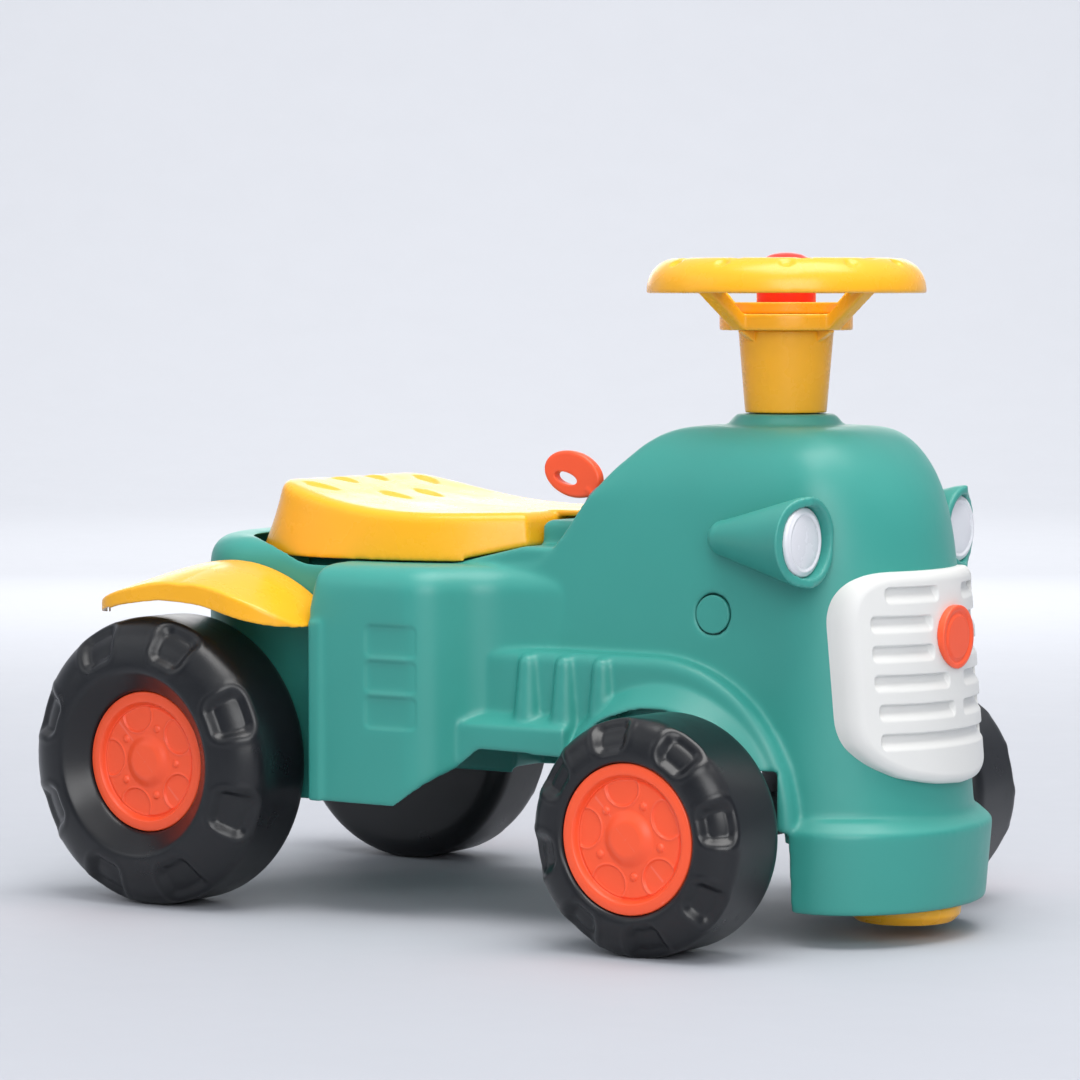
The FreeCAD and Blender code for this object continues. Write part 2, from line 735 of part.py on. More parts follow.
def hip_marks():
    """Shallow rounded squares pressed into the right hip."""
    solids = []
    for index in range(int(d.hip_mark_count)):
        corner = Vector(front_x - d.hip_mark_back - d.hip_mark_width / 2, -d.hip_half - d.overrun,
                        d.hip_mark_low + index * d.hip_mark_pitch)
        block = Part.makeBox(d.hip_mark_width, d.overrun + d.hip_mark_depth, d.hip_mark_height, corner)
        upright = edges_where(block, lambda edge: abs(edge.tangentAt(edge.FirstParameter).y) > 0.9)
        solids.append(block.makeFillet(d.hip_mark_round, upright))
    return solids


def hip_bead():
    """The raised bead down the hip's edge beside the rear wheel."""
    return Part.makeBox(d.bead_width, d.bead_rise + d.wall, d.bead_top - d.hip_bottom,
                        Vector(front_x - d.hip_rear_back, -d.hip_half - d.bead_rise, d.hip_bottom))


def outer_form():
    """The solid that the shell's outside follows, before it is hollowed."""
    upper = hood(0).cut(dash_cutter(0))
    flank = [side_panel(0).cut(arch_opening()), arch_lip(), flange(0), hip_bead()] + ribs()
    parts = [hip_block(0, d.hip_bottom), tail_block(0, d.tail_bottom), bumper(0)] + console_block(0)
    for piece in flank:
        parts += both_sides(piece)
    return upper.multiFuse(parts)


def inner_form():
    """The hollow inside the shell, open at the bottom."""
    low = -d.overrun
    wall = d.wall
    upper = hood(wall).cut(dash_cutter(wall))
    parts = [hip_block(wall, low), tail_block(wall, low), bumper(wall)] + console_block(wall)
    for piece in (side_panel(wall).cut(arch_opening_wall()), flange(wall)):
        parts += both_sides(piece)
    return upper.multiFuse(parts)


def arch_opening_wall():
    """The arch grown by the wall, so that the hollow stays one wall away from the wheel's room."""
    reach = d.panel_half + d.overrun
    start = arch_axis_point(-reach)
    arch = Part.makeCylinder(d.arch_radius, reach, start, Y_AXIS)
    below = Part.makeBox(2 * d.arch_radius, reach, d.arch_centre_height + d.overrun,
                         Vector(start.x - d.arch_radius, start.y, -d.overrun))
    return arch.fuse(below)


def headlamp(side):
    """A torch-shaped lamp housing on the bonnet's flank, and the recess for its lens."""
    front = Vector(front_x + d.lamp_ahead, side * d.lamp_half, d.lamp_height)
    back = Vector(front.x - d.lamp_length, side * (d.hood_half_high + d.lamp_back_radius / 2), d.lamp_height)
    axis = front - back
    housing = Part.makeCone(d.lamp_back_radius, d.lamp_radius, axis.Length, back, axis)
    housing = housing.fuse(Part.makeSphere(d.lamp_back_radius, back))
    keeper = Part.makeBox(2 * far, 2 * far, 2 * far, Vector(front.x - 2 * far, -far, -far))
    recess = Part.makeCylinder(d.lens_radius + d.trim_gap, far, front - X_AXIS * d.lens_recess, X_AXIS)
    return housing.common(keeper).cut(hood_outside).cut(recess)


def headlamp_lens(side):
    """A shallow domed disc at the bottom of the lamp's recess."""
    base = Vector(front_x + d.lamp_ahead - d.lens_recess, side * d.lamp_half, d.lamp_height)
    disc = Part.makeCylinder(d.lens_radius, d.lens_thickness, base, X_AXIS)
    rim = edges_where(disc, lambda edge: edge.CenterOfMass.x > base.x + d.lens_thickness / 2
                      and edge.isClosed())
    return disc.makeFillet(d.lens_thickness / 2, rim)


def side_plug(side, gap):
    """A round plug that fills a hole in the bonnet's flank."""
    start = Vector(front_x - d.plug_back, 0, d.plug_height)
    return Part.makeCylinder(d.plug_radius + gap, far, start, Y_AXIS * side)


def grille_outline(reach):
    """Solid behind the grille's front outline, from its side edges forwards."""
    height = d.grille_high - d.grille_low
    x = front_x + d.grille_start
    right = [Vector(x, -d.grille_half * wide, d.grille_low + height * high)
             for wide, high in GRILLE_OUTLINE_SHARES]
    left = [Vector(x, -point.y, point.z) for point in reversed(right) if point.y != 0]
    return prism(right + left, X_AXIS * reach)


def grille_slots():
    """Rows of shallow louvre slots, the lowest one right across."""
    solids = []
    for row, (near_share, far_share) in enumerate(GRILLE_SLOT_SHARES):
        top = d.grille_high - d.grille_margin - row * d.grille_slot_pitch
        near, end = d.grille_half * near_share, d.grille_half * far_share
        corner = Vector(front_x, -end, top - d.grille_slot_height)
        width = end - near if near > 0 else 2 * end
        slot = Part.makeBox(far, width, d.grille_slot_height, corner)
        along = edges_where(slot, lambda edge: abs(edge.tangentAt(edge.FirstParameter).x) > 0.9)
        slot = slot.makeFillet(d.grille_slot_height * SLOT_ROUND_SHARE, along)
        solids += both_sides(slot) if near > 0 else [slot]
    return solids


def grille():
    band = hood(0, d.grille_proud).cut(hood_outside).common(grille_outline(far))
    slots = grille_slots()
    slots = slots[0].multiFuse(slots[1:]).cut(hood(0, d.grille_proud - d.grille_slot_depth))
    return band.cut(slots)


def badge():
    """A plain round badge with one ring, seated on the grille's curved front."""
    lean = (d.badge_height - d.hood_skirt) / (d.hood_top - d.dome_depth - d.hood_skirt)
    nose = d.hood_nose_low + (d.hood_nose_high - d.hood_nose_low) * lean
    front = front_x + d.hood_nose_start + nose + d.grille_proud + d.badge_thickness - d.badge_ring_depth
    base = Vector(front - d.overrun, 0, d.badge_height)
    disc = Part.makeCylinder(d.badge_radius, d.overrun, base, X_AXIS)
    groove_outer = d.badge_radius - d.badge_ring_width
    start = Vector(front - d.badge_ring_depth, 0, d.badge_height)
    groove = Part.makeCylinder(groove_outer, d.overrun, start, X_AXIS).cut(
        Part.makeCylinder(groove_outer - d.badge_ring_width, d.overrun, start, X_AXIS))
    return disc.cut(groove).cut(hood(0, d.grille_proud))


def fender(side):
    """A crowned mudguard over a rear wheel, open below."""
    front, inner, outer = front_x - d.fender_front_back, d.tail_half, d.fender_half

    def form(inset, low_edge):
        tip = d.fender_tip_height - inset
        top = [Vector(front - d.fender_length * along, -inner, tip + d.fender_rise * high)
               for along, high in FENDER_TOP_SHARES]
        edges = [smooth_edge(top), smooth_edge(low_edge)]
        edges += straight_edges([top[-1], low_edge[0]]) + straight_edges([low_edge[-1], top[0]])
        profile = Part.Face(Part.Wire(Part.__sortEdges__(edges))).extrude(-Y_AXIS * (outer - inner))
        plan = [Vector(front - d.fender_length * along, -inner - (outer - inner) * wide + inset, 0)
                for along, wide in FENDER_PLAN_SHARES]
        flank = [plan[-1], Vector(plan[-1].x, -inner, 0), Vector(plan[0].x, -inner, 0), plan[0]]
        outline = Part.Wire([smooth_edge(plan)] + straight_edges(flank))
        return profile.common(Part.Face(outline).extrude(Z_AXIS * far))

    edge = [Vector(front - d.fender_length * along, -inner, d.fender_tip_height + d.fender_rise * high)
            for along, high in FENDER_EDGE_SHARES]
    deep = [Vector(point.x, point.y, point.z - d.fender_rise) for point in edge]
    guard = form(0, edge).cut(form(d.fender_wall, deep))
    guard = max(guard.cut(shell_outside).Solids, key=lambda solid: solid.Volume)
    return guard if side < 0 else mirrored(guard)


def quarter_points(face_radius, face_depth, crown_radius, crown_depth):
    """A quarter ellipse of a tyre's shoulder, from its flat face out to its crown."""
    points = []
    for share in QUARTER_TURN_SHARES:
        turn = share * math.pi / 2
        points.append(Vector(face_radius + (crown_radius - face_radius) * math.sin(turn), 0,
                             crown_depth + (face_depth - crown_depth) * math.cos(turn)))
    return points


def tyre_section(radius, width, hub_inset, lip_radius, shoulder, wall):
    """Half section of a tyre, or of its hollow when a wall is given."""
    bore = d.axle_radius + d.running_fit + d.bush_wall + wall
    seat = d.hub_radius + d.hub_fit + wall
    floor = hub_inset + d.hub_depth + wall
    outer = quarter_points(lip_radius + wall, wall, radius - wall, shoulder)
    inner = quarter_points(radius - d.tyre_inner_drop - wall, width - wall, radius - wall,
                           width - d.tyre_inner_shoulder)
    hub = [inner[0], Vector(bore, 0, width - wall), Vector(bore, 0, floor), Vector(seat, 0, floor),
           Vector(seat, 0, hub_inset + wall), outer[0]]
    edges = straight_edges(hub) + straight_edges([outer[-1], inner[-1]])
    edges += [smooth_edge(outer), smooth_edge(inner)]
    return Part.Face(Part.Wire(Part.__sortEdges__(edges)))


def lug_block(face, crown, size, grow, turn):
    """A rounded block that presses one pocket into a shoulder, between its face and its crown."""
    angle = LUG_TURN_SHARE * math.pi / 2
    rise, depth = crown.x - face.x, crown.z - face.z
    centre = Vector(face.x + rise * math.sin(angle), 0, crown.z - depth * math.cos(angle))
    outward = math.copysign(rise * math.cos(angle), depth)
    tilt = math.degrees(math.atan2(outward, abs(depth) * math.sin(angle)))
    half = size / 2 + grow
    block = Part.makeBox(d.overrun, 2 * half, 2 * half, Vector(-d.lug_depth - grow, -half, -half))
    along = edges_where(block, lambda edge: abs(edge.tangentAt(edge.FirstParameter).x) > 0.9)
    block = block.makeFillet(d.lug_round, along)
    block.Placement = Placement(turn.multVec(centre), turn.multiply(Rotation(Y_AXIS, tilt)))
    return block


def tyre(radius, width, hub_inset, lip_radius, shoulder, lug):
    """A hollow blow-moulded wheel about its own Z axis, outer face at zero, with shoulder pockets."""
    sections = [tyre_section(radius, width, hub_inset, lip_radius, shoulder, wall)
                for wall in (0, d.tyre_wall)]
    solid, cavity = (section.revolve(Vector(), Z_AXIS, 360) for section in sections)
    rows = [(Vector(lip_radius, 0, 0), Vector(radius, 0, shoulder), lug),
            (Vector(radius - d.tyre_inner_drop, 0, width), Vector(radius, 0, width - d.tyre_inner_shoulder),
             d.inner_lug)]
    pockets, rooms = [], []
    count = int(d.lug_count)
    for index in range(2 * count):
        face, crown, size = rows[index % 2]
        turn = Rotation(Z_AXIS, 180.0 * index / count)
        pockets.append(lug_block(face, crown, size, 0, turn))
        rooms.append(lug_block(face, crown, size, d.tyre_wall, turn))
    return solid.cut(pockets).cut(cavity.cut(rooms))


def hub_cap():
    """The wheel's bright cap about its own Z axis: rim, groove, five petals, bolts and dome."""
    deep, radius, groove = d.hub_depth, d.hub_radius, d.hub_groove
    web = deep - d.hub_web_drop
    roof, skirt = web - d.hub_wall, radius - d.hub_wall
    inner = radius - d.hub_rim_width
    dome, crest = d.hub_dome_radius, web + d.hub_dome_rise
    corners = [(0, roof), (skirt, roof), (skirt, 0), (radius, 0), (radius, deep - groove),
               (radius - groove, deep), (inner + groove, deep), (inner, web - groove / 2),
               (inner - groove, web), (dome + groove, web), (dome - groove, (web + crest) / 2),
               (dome / 2, crest), (0, crest)]
    cap = face_of([Vector(r, 0, up) for r, up in corners]).revolve(Vector(), Z_AXIS, 360)
    count = int(d.hub_petal_count)
    petals, bolts = [], []
    for index in range(count):
        turn = Rotation(Z_AXIS, 360.0 * index / count)
        place = turn.multVec(Vector(d.hub_petal_place, 0, web - d.hub_petal_depth))
        petals.append(Part.makeCylinder(d.hub_petal_radius, d.overrun, place))
        half_turn = Rotation(Z_AXIS, 360.0 * (index + 0.5) / count)
        foot = half_turn.multVec(Vector(d.hub_bolt_place, 0, web - d.hub_bolt_rise))
        bolts.append(Part.makeCylinder(d.hub_bolt_radius, 2 * d.hub_bolt_rise, foot))
    return cap.cut(petals).multiFuse(bolts)


def steering_wheel():
    """Rim, spokes and hub ring in one moulding, about its own Z axis from the ring's underside."""
    ring_solid = Part.makeCylinder(d.ring_radius, d.ring_height)
    low, top = d.rim_lift, d.rim_lift + d.rim_height
    spread, inner = d.rim_low_radius - d.rim_high_radius, d.rim_inner_radius
    curve = [Vector(d.rim_high_radius + spread * wide, 0, low + d.rim_height * high)
             for wide, high in RIM_CURVE_SHARES]
    hoop = straight_edges([curve[-1], Vector(inner, 0, top), Vector(inner, 0, low), curve[0]])
    section = Part.Face(Part.Wire(Part.__sortEdges__([smooth_edge(curve)] + hoop)))
    rim = section.revolve(Vector(), Z_AXIS, 360)
    upper = edges_where(rim, lambda edge: edge.isClosed() and edge.CenterOfMass.z > top - d.wall
                        and edge.Length < 2 * math.pi * (d.rim_inner_radius + d.wall))
    rim = rim.makeFillet(d.rim_round, upper)
    grips = []
    for index in range(int(d.rim_grip_count)):
        turn = Rotation(Z_AXIS, 360.0 * index / d.rim_grip_count)
        place = Vector(d.rim_high_radius, 0, top + d.rim_grip_radius - d.rim_grip_depth)
        grips.append(Part.makeSphere(d.rim_grip_radius, turn.multVec(place)))
    near, away, roof = inner + d.column_wall, d.rim_low_radius - 2 * d.column_wall, top - d.rim_round
    channel = face_of([Vector(r, 0, z) for r, z in (
        (near, low - d.overrun), (away, low - d.overrun), (away, low + d.column_wall),
        (d.rim_high_radius, roof), (near, roof))])
    rim = rim.cut(grips).cut(channel.revolve(Vector(), Z_AXIS, 360))
    arms = []
    for index in range(int(d.spoke_count)):
        arm = prism([Vector(r, -d.spoke_width / 2, z) for r, z in (
            (d.column_high_radius, 0), (d.ring_radius, 0), (inner + d.spoke_width, low),
            (inner + d.spoke_width, low + d.spoke_wall), (inner, low + d.spoke_wall),
            (d.ring_radius, d.ring_height), (d.column_high_radius, d.ring_height))], Y_AXIS * d.spoke_width)
        arms.append(arm.rotated(Vector(), Z_AXIS, 360.0 * index / d.spoke_count))
    guide = Part.makeCylinder(d.horn_guide_radius, d.ring_height + d.horn_guide_height)
    bore = Part.makeCylinder(d.shaft_radius, d.ring_height + d.horn_guide_height - d.column_wall)
    return rim.multiFuse(arms + [ring_solid, guide]).cut(bore)


def horn_spring():
    """The coil spring under the horn button, about its own Z axis."""
    room = d.horn_travel + d.side_gap / 2 + d.horn_height - d.horn_dome
    rise = room - 2 * d.spring_wire * SPRING_SEAT_SHARE
    helix = Part.makeHelix(rise / d.spring_turns, rise, d.spring_radius)
    start = Vector(d.spring_radius, 0, 0)
    section = Part.Wire([Part.makeCircle(d.spring_wire, start, Y_AXIS)])
    return Part.Wire(helix.Edges).makePipeShell([section], True, True)


def seat_top(drop):
    """Solid below the seat's saddle line, across the whole width."""
    start = front_x - d.seat_front_back
    points = [Vector(start - d.seat_length * along, -far, d.deck_height + d.seat_height * high - drop)
              for along, high in SEAT_TOP_SHARES]
    floor = d.deck_height - d.overrun
    down = [points[-1], Vector(points[-1].x, -far, floor), Vector(points[0].x, -far, floor), points[0]]
    return Part.Face(Part.Wire([smooth_edge(points)] + straight_edges(down))).extrude(Y_AXIS * 2 * far)


def seat_lid():
    """The saddle-shaped lid with its tongue and hinge barrel at the front."""
    low, high = d.deck_height + d.seat_gap, d.deck_height + d.seat_height + d.overrun
    lid = seat_form(0, low, high).common(seat_top(0))
    rim = edges_where(lid, lambda edge: edge.CenterOfMass.z > d.deck_height + d.seat_height / 2
                      and edge.Length > d.seat_half)
    lid = lid.makeFillet(d.seat_round, rim)
    inside = seat_form(-d.seat_wall - d.seat_round / 2, low, high).common(seat_top(d.seat_wall))
    start, hinge = front_x - d.seat_front_back, front_x - d.hinge_back
    tongue_low = d.console_height + d.seat_gap
    root = start - d.seat_wall - d.seat_round
    tongue = Part.makeBox(hinge - root, 2 * d.tongue_half, d.hinge_height - tongue_low,
                          Vector(root, -d.tongue_half, tongue_low))
    gap_start = hinge - d.hinge_barrel_radius - d.seat_gap
    sides = [Part.makeBox(far, d.tongue_half, far, Vector(gap_start, y, 0))
             for y in (d.hinge_barrel_half, -d.hinge_barrel_half - d.tongue_half)]
    axis_start = Vector(hinge, -d.hinge_barrel_half, d.hinge_height)
    barrel = Part.makeCylinder(d.hinge_barrel_radius, 2 * d.hinge_barrel_half, axis_start, Y_AXIS)
    bore = Part.makeCylinder(d.hinge_pin_radius + d.running_fit, 2 * d.hinge_barrel_half, axis_start, Y_AXIS)
    room = console_block(-d.seat_gap)
    return lid.cut(inside).cut(room).fuse(tongue.cut(sides)).fuse(barrel).cut(bore)


def hinge_lugs():
    """Two lugs on the console that hold the seat's hinge pin."""
    hinge = front_x - d.hinge_back
    lugs = []
    for y in (d.hinge_barrel_half + d.side_gap, -d.hinge_barrel_half - d.side_gap - d.hinge_lug_width):
        radius, low = d.hinge_barrel_radius, d.console_height - d.wall
        eye = Part.makeCylinder(radius, d.hinge_lug_width, Vector(hinge, y, d.hinge_height), Y_AXIS)
        foot = Part.makeBox(2 * radius, d.hinge_lug_width, d.hinge_height - low,
                            Vector(hinge - radius, y, low))
        lugs.append(eye.fuse(foot))
    return lugs


def dash_frame():
    """The key's foot on the dashboard and the direction straight out of it."""
    slope = Vector(d.dash_foot_back - d.dash_top_back, 0, d.hood_top - d.dash_foot_height).normalize()
    out = Vector(-slope.z, 0, slope.x)
    foot_x = front_x - d.dash_foot_back + slope.x / slope.z * (d.key_height - d.dash_foot_height)
    return Vector(foot_x, -d.key_half, d.key_height), out


def ignition_key():
    """A stem with an oval, pierced grip, about its own Z axis from the dashboard's surface."""
    centre = Vector(0, d.key_grip_thickness / 2, d.key_grip_place)
    stem_top = d.key_grip_place - d.key_grip_width / 2
    stem = Part.makeCylinder(d.key_stem_radius, d.wall + stem_top, Vector(0, 0, -d.wall))

    def oval(length, width):
        ellipse = Part.Ellipse(centre + Z_AXIS * length / 2, centre + X_AXIS * width / 2, centre)
        return Part.Face(Part.Wire([ellipse.toShape()])).extrude(-Y_AXIS * d.key_grip_thickness)

    grip = oval(d.key_grip_length, d.key_grip_width)
    closed = edges_where(grip, lambda edge: edge.isClosed())
    grip = grip.makeFillet(d.key_grip_thickness * KEY_ROUND_SHARE, closed)
    hole = oval(d.key_hole_length, d.key_hole_width)
    hole.translate(Vector(-d.key_hole_width / 2, 0, d.key_hole_width / 2))
    grip = grip.cut(hole).rotated(centre, Y_AXIS, -d.key_grip_lean)
    return grip.fuse(stem)


def storage_bin():
    """The open tub under the seat, hung by its flange in the deck."""
    back, ahead = front_x - d.bin_rear_back, front_x - d.bin_front_back
    length, half, wall = ahead - back, d.bin_half, d.bin_wall
    outside = Part.makeBox(length, 2 * half, d.deck_height - d.bin_floor, Vector(back, -half, d.bin_floor))
    inside = Part.makeBox(length - 2 * wall, 2 * (half - wall), far,
                          Vector(back + wall, wall - half, d.bin_floor + wall))
    outside = outside.makeFillet(d.bin_round, upright_edges(outside))
    inside = inside.makeFillet(d.bin_round - wall, upright_edges(inside))
    flange_plate = Part.makeBox(length + 2 * d.bin_flange, 2 * (half + d.bin_flange), wall,
                                Vector(back - d.bin_flange, -half - d.bin_flange, d.deck_height))
    flange_plate = flange_plate.makeFillet(d.bin_round + d.bin_flange, upright_edges(flange_plate))
    return outside.fuse(flange_plate).cut(inside)


def bin_hole():
    back, ahead = front_x - d.bin_rear_back, front_x - d.bin_front_back
    gap, half = d.trim_gap, d.bin_half
    hole = Part.makeBox(ahead - back + 2 * gap, 2 * (half + gap), 2 * d.overrun,
                        Vector(back - gap, -half - gap, d.deck_height - d.overrun))
    return hole.makeFillet(d.bin_round, upright_edges(hole))


def seat_pocket():
    """Room for the lid inside the raised rim behind the seat."""
    pocket = Part.Face(seat_outline(d.seat_pocket_gap, d.deck_height)).extrude(Z_AXIS * far)
    keeper = Part.makeBox(far, 2 * far, far, Vector(front_x - d.deck_ramp_back - far, -far, 0))
    return pocket.common(keeper)


def axle_bosses():
    """Bosses on the tail's sides that carry the rear axle's bushes."""
    inner = d.tail_half - 2 * d.overrun
    outer = d.rear_face_half - d.rear_tyre_width - d.side_gap
    end = Vector(rear_x, -outer, d.rear_tyre_radius)
    boss = Part.makeCylinder(d.axle_boss_radius, outer - inner, end, Y_AXIS)
    return both_sides(boss)


def bridge_screw(x, side):
    """A screw through the bonnet's wall into the end of the steering bridge."""
    z = d.well_height + d.bridge_thickness / 2
    seat_y = side * (wall_half(z) + d.screw_head_height)
    head = Part.makeCylinder(d.screw_head_radius, d.screw_head_height, Vector(x, seat_y, z), Y_AXIS * -side)
    shank = Part.makeCylinder(d.screw_radius, d.screw_head_height + d.screw_length, Vector(x, seat_y, z),
                              Y_AXIS * -side)
    return head.fuse(shank)


def wall_half(level):
    """Half width of the bonnet's straight flank at a level."""
    lean = (level - d.hood_skirt) / (d.hood_top - d.dome_depth - d.hood_skirt)
    return d.hood_half_low + (d.hood_half_high - d.hood_half_low) * lean


# Heights up the steering column
column_z = d.hood_top + d.collar_height + d.column_gap
ring_z = column_z + d.column_height
dish_z = ring_z + d.ring_height
shaft_z = d.front_tyre_radius + d.axle_radius + d.side_gap
key_foot, key_out = dash_frame()
key_turn = Rotation(Y_AXIS, math.degrees(math.atan2(key_out.x, key_out.z)))

# The body shell
hood_outside = hood(0)
hood_inside = hood(d.wall)
shell_outside = outer_form()
collar_foot = Vector(front_x, 0, d.hood_top)
collar = Part.makeCone(d.collar_low_radius, d.collar_high_radius, d.collar_height, collar_foot)
column_bush_radius = d.shaft_radius + d.running_fit + d.bush_wall
column_hole = Part.makeCylinder(column_bush_radius, far, Vector(front_x, 0, d.hood_top - d.overrun))
axle_end = Vector(rear_x, -far, d.rear_tyre_radius)
axle_hole = Part.makeCylinder(d.axle_radius + d.axle_bush_wall, 2 * far, axle_end, Y_AXIS)
pin_end = Vector(front_x - d.hinge_back, -far, d.hinge_height)
pin_hole = Part.makeCylinder(d.hinge_pin_radius, 2 * far, pin_end, Y_AXIS)
key_start = key_foot - key_out * d.overrun
key_hole = Part.makeCylinder(d.key_stem_radius + d.trim_gap, 2 * d.overrun, key_start, key_out)
screws = [bridge_screw(front_x + sign * d.screw_place, side) for sign in (1, -1) for side in SIDES.values()]
shell = shell_outside.cut(inner_form()).cut(belly_cutter())
shell = shell.multiFuse([collar] + axle_bosses() + hinge_lugs())
holes = [column_hole, axle_hole, pin_hole, key_hole, bin_hole(), seat_pocket()] + screws
holes += [side_plug(side, d.trim_gap).cut(hood_inside) for side in SIDES.values()]
for mark in hip_marks():
    holes += both_sides(mark)
shell = shell.cut(holes)
feature("body_shell", max(shell.Solids, key=lambda solid: solid.Volume))

# Trim on the shell
for name, side in SIDES.items():
    feature(f"fender_{name}", fender(side))
    feature(f"headlight_housing_{name}", headlamp(side))
    feature(f"headlight_lens_{name}", headlamp_lens(side))
    feature(f"side_plug_{name}", side_plug(side, 0).common(hood_outside.cut(hood_inside)))
feature("grille", grille())
feature("grille_badge", badge())
turned("front_skid_foot", [(ZERO, ZERO), (t.foot_radius - t.foot_round, ZERO), (t.foot_radius, t.foot_round),
                           (t.foot_radius, t.foot_depth), (ZERO, t.foot_depth)],
       at(front_x + d.foot_ahead, 0, d.bumper_bottom - d.foot_depth))
feature("storage_bin", storage_bin())

# Rear axle, fixed in bushes in the tail
axle_spare = t.push_nut_thickness + t.axle_end_gap
rear_axle_half = t.rear_face_half - t.rear_hub_inset - t.hub_depth + axle_spare
rear_axle_end = along_y(rear_x, -rear_axle_half.value, d.rear_tyre_radius)
keep(cylinder("rear_axle", t.axle_radius, rear_axle_half.times(2), rear_axle_end), "rear_axle")
boss_end = t.rear_face_half - t.rear_tyre_width - t.side_gap
boss_length = boss_end - t.tail_half + t.overrun.times(2)
tail_bushes = []
for name, side in SIDES.items():
    start = along_y(rear_x, side * (boss_end - boss_length).value, d.rear_tyre_radius, side)
    tail_bushes.append(ring(f"rear_axle_bush_{name}", t.axle_radius + t.axle_bush_wall, t.axle_radius,
                            boss_length, start))
group("rear_axle_bushes", tail_bushes)

# Front axle, fixed in the steering yoke
front_axle_half = t.front_face_half - t.front_hub_inset - t.hub_depth + axle_spare
front_axle_end = along_y(front_x, -front_axle_half.value, d.front_tyre_radius)
keep(cylinder("front_axle", t.axle_radius, front_axle_half.times(2), front_axle_end), "front_axle")

# Wheels, each with its own bush, and the push nuts that hold them on
ENDS = {"front": (front_x, d.front_tyre_radius, d.front_tyre_width, d.front_face_half, d.front_hub_inset,
                  d.front_lip_radius, d.front_shoulder, d.front_lug,
                  t.front_tyre_width - t.front_hub_inset - t.hub_depth),
        "rear": (rear_x, d.rear_tyre_radius, d.rear_tyre_width, d.rear_face_half, d.rear_hub_inset,
                 d.rear_lip_radius, d.rear_shoulder, d.rear_lug,
                 t.rear_tyre_width - t.rear_hub_inset - t.hub_depth)}
for end, sizes in ENDS.items():
    axle_x, radius, width, face_half, inset, lip_radius, shoulder_depth, lug, bush_length = sizes
    wheel = tyre(radius, width, inset, lip_radius, shoulder_depth, lug)
    cap = hub_cap()
    floor_half = face_half - inset - d.hub_depth
    bush_inner = t.axle_radius + t.running_fit
    nuts = []
    for name, side in SIDES.items():
        feature(f"tyre_{end}_{name}", wheel.copy(), along_y(axle_x, side * face_half, radius, -side))
        feature(f"hub_cap_{end}_{name}", cap.copy(), along_y(axle_x, side * floor_half, radius, side))
        bush = ring(f"wheel_bush_{end}_{name}", bush_inner + t.bush_wall, bush_inner, bush_length,
                    along_y(axle_x, side * floor_half, radius, -side))
        keep(bush, f"wheel_bush_{end}_{name}")
        nut_place = along_y(axle_x, side * (floor_half + d.side_gap), radius, side)
        nuts.append(ring(f"push_nut_{end}_{name}", t.push_nut_radius, t.axle_radius, t.push_nut_thickness,
                         nut_place))
    group(f"push_nuts_{end}", nuts)

# Steering gear
bridge_low = d.well_height
bush_outer = t.yoke_post_radius + t.running_fit + t.bridge_bush_wall
bridge = Part.makeBox(2 * d.bridge_half_depth, 2 * far, d.bridge_thickness,
                      Vector(front_x - d.bridge_half_depth, -far, bridge_low)).common(hood_inside)
bridge = bridge.cut([Part.makeCylinder(bush_outer.value, far, Vector(front_x, 0, 0))] + screws)
feature("steering_bridge", bridge)
feature("bridge_screws", Part.makeCompound(screws))
bush_inner = t.yoke_post_radius + t.running_fit
flange_outer, flange_top = bush_outer + t.bridge_bush_flange, t.bridge_thickness + t.bridge_bush_flange
turned("steering_bridge_bush", [(bush_inner, ZERO), (bush_outer, ZERO), (bush_outer, t.bridge_thickness),
                                (flange_outer, t.bridge_thickness), (flange_outer, flange_top),
                                (bush_inner, flange_top)], at(front_x, 0, bridge_low))
column_bush_outer = t.shaft_radius + t.running_fit + t.bush_wall
keep(ring("column_bush", column_bush_outer, t.shaft_radius + t.running_fit, t.collar_height + t.wall,
          at(front_x, 0, d.hood_top - d.wall)), "column_bush")

yoke_half = t.front_face_half - t.front_tyre_width - t.side_gap
beam = doc.addObject("Part::Box", "yoke_beam")
bind(beam, Length=t.yoke_half_depth.times(2), Width=yoke_half.times(2), Height=t.yoke_rise.times(2))
beam.Placement = at(front_x - d.yoke_half_depth, -yoke_half.value, d.front_tyre_radius - d.yoke_rise)
post_height = t.yoke_post_top - t.front_tyre_radius
post = cylinder("yoke_post", t.yoke_post_radius, post_height, at(front_x, 0, d.front_tyre_radius))
blank = doc.addObject("Part::Fuse", "yoke_blank")
blank.Base = beam
blank.Tool = post
axle_bore = cylinder("yoke_axle_bore", t.axle_radius, yoke_half.times(2),
                     along_y(front_x, -yoke_half.value, d.front_tyre_radius))
shaft_bore = cylinder("yoke_shaft_bore", t.shaft_radius, t.yoke_post_top, at(front_x, 0, shaft_z))
keep(cut("steering_yoke", cut("yoke_drilled", blank, axle_bore), shaft_bore), "steering_yoke")
dish_height = t.hood_top + t.collar_height + t.column_gap + t.column_height + t.ring_height
shaft_length = (dish_height + t.horn_guide_height - t.column_wall
                - t.front_tyre_radius - t.axle_radius - t.side_gap)
keep(cylinder("steering_shaft", t.shaft_radius, shaft_length, at(front_x, 0, shaft_z)), "steering_shaft")
column_high_bore = t.column_high_radius - t.column_wall
column_low_bore = t.column_low_radius - t.column_wall
turned("steering_column", [(t.shaft_radius, ZERO), (t.column_low_radius, ZERO),
                           (t.column_high_radius, t.column_height), (column_high_bore, t.column_height),
                           (column_low_bore, t.column_wall), (t.shaft_radius, t.column_wall)],
       at(front_x, 0, column_z))
feature("steering_wheel", steering_wheel(), at(front_x, 0, ring_z))

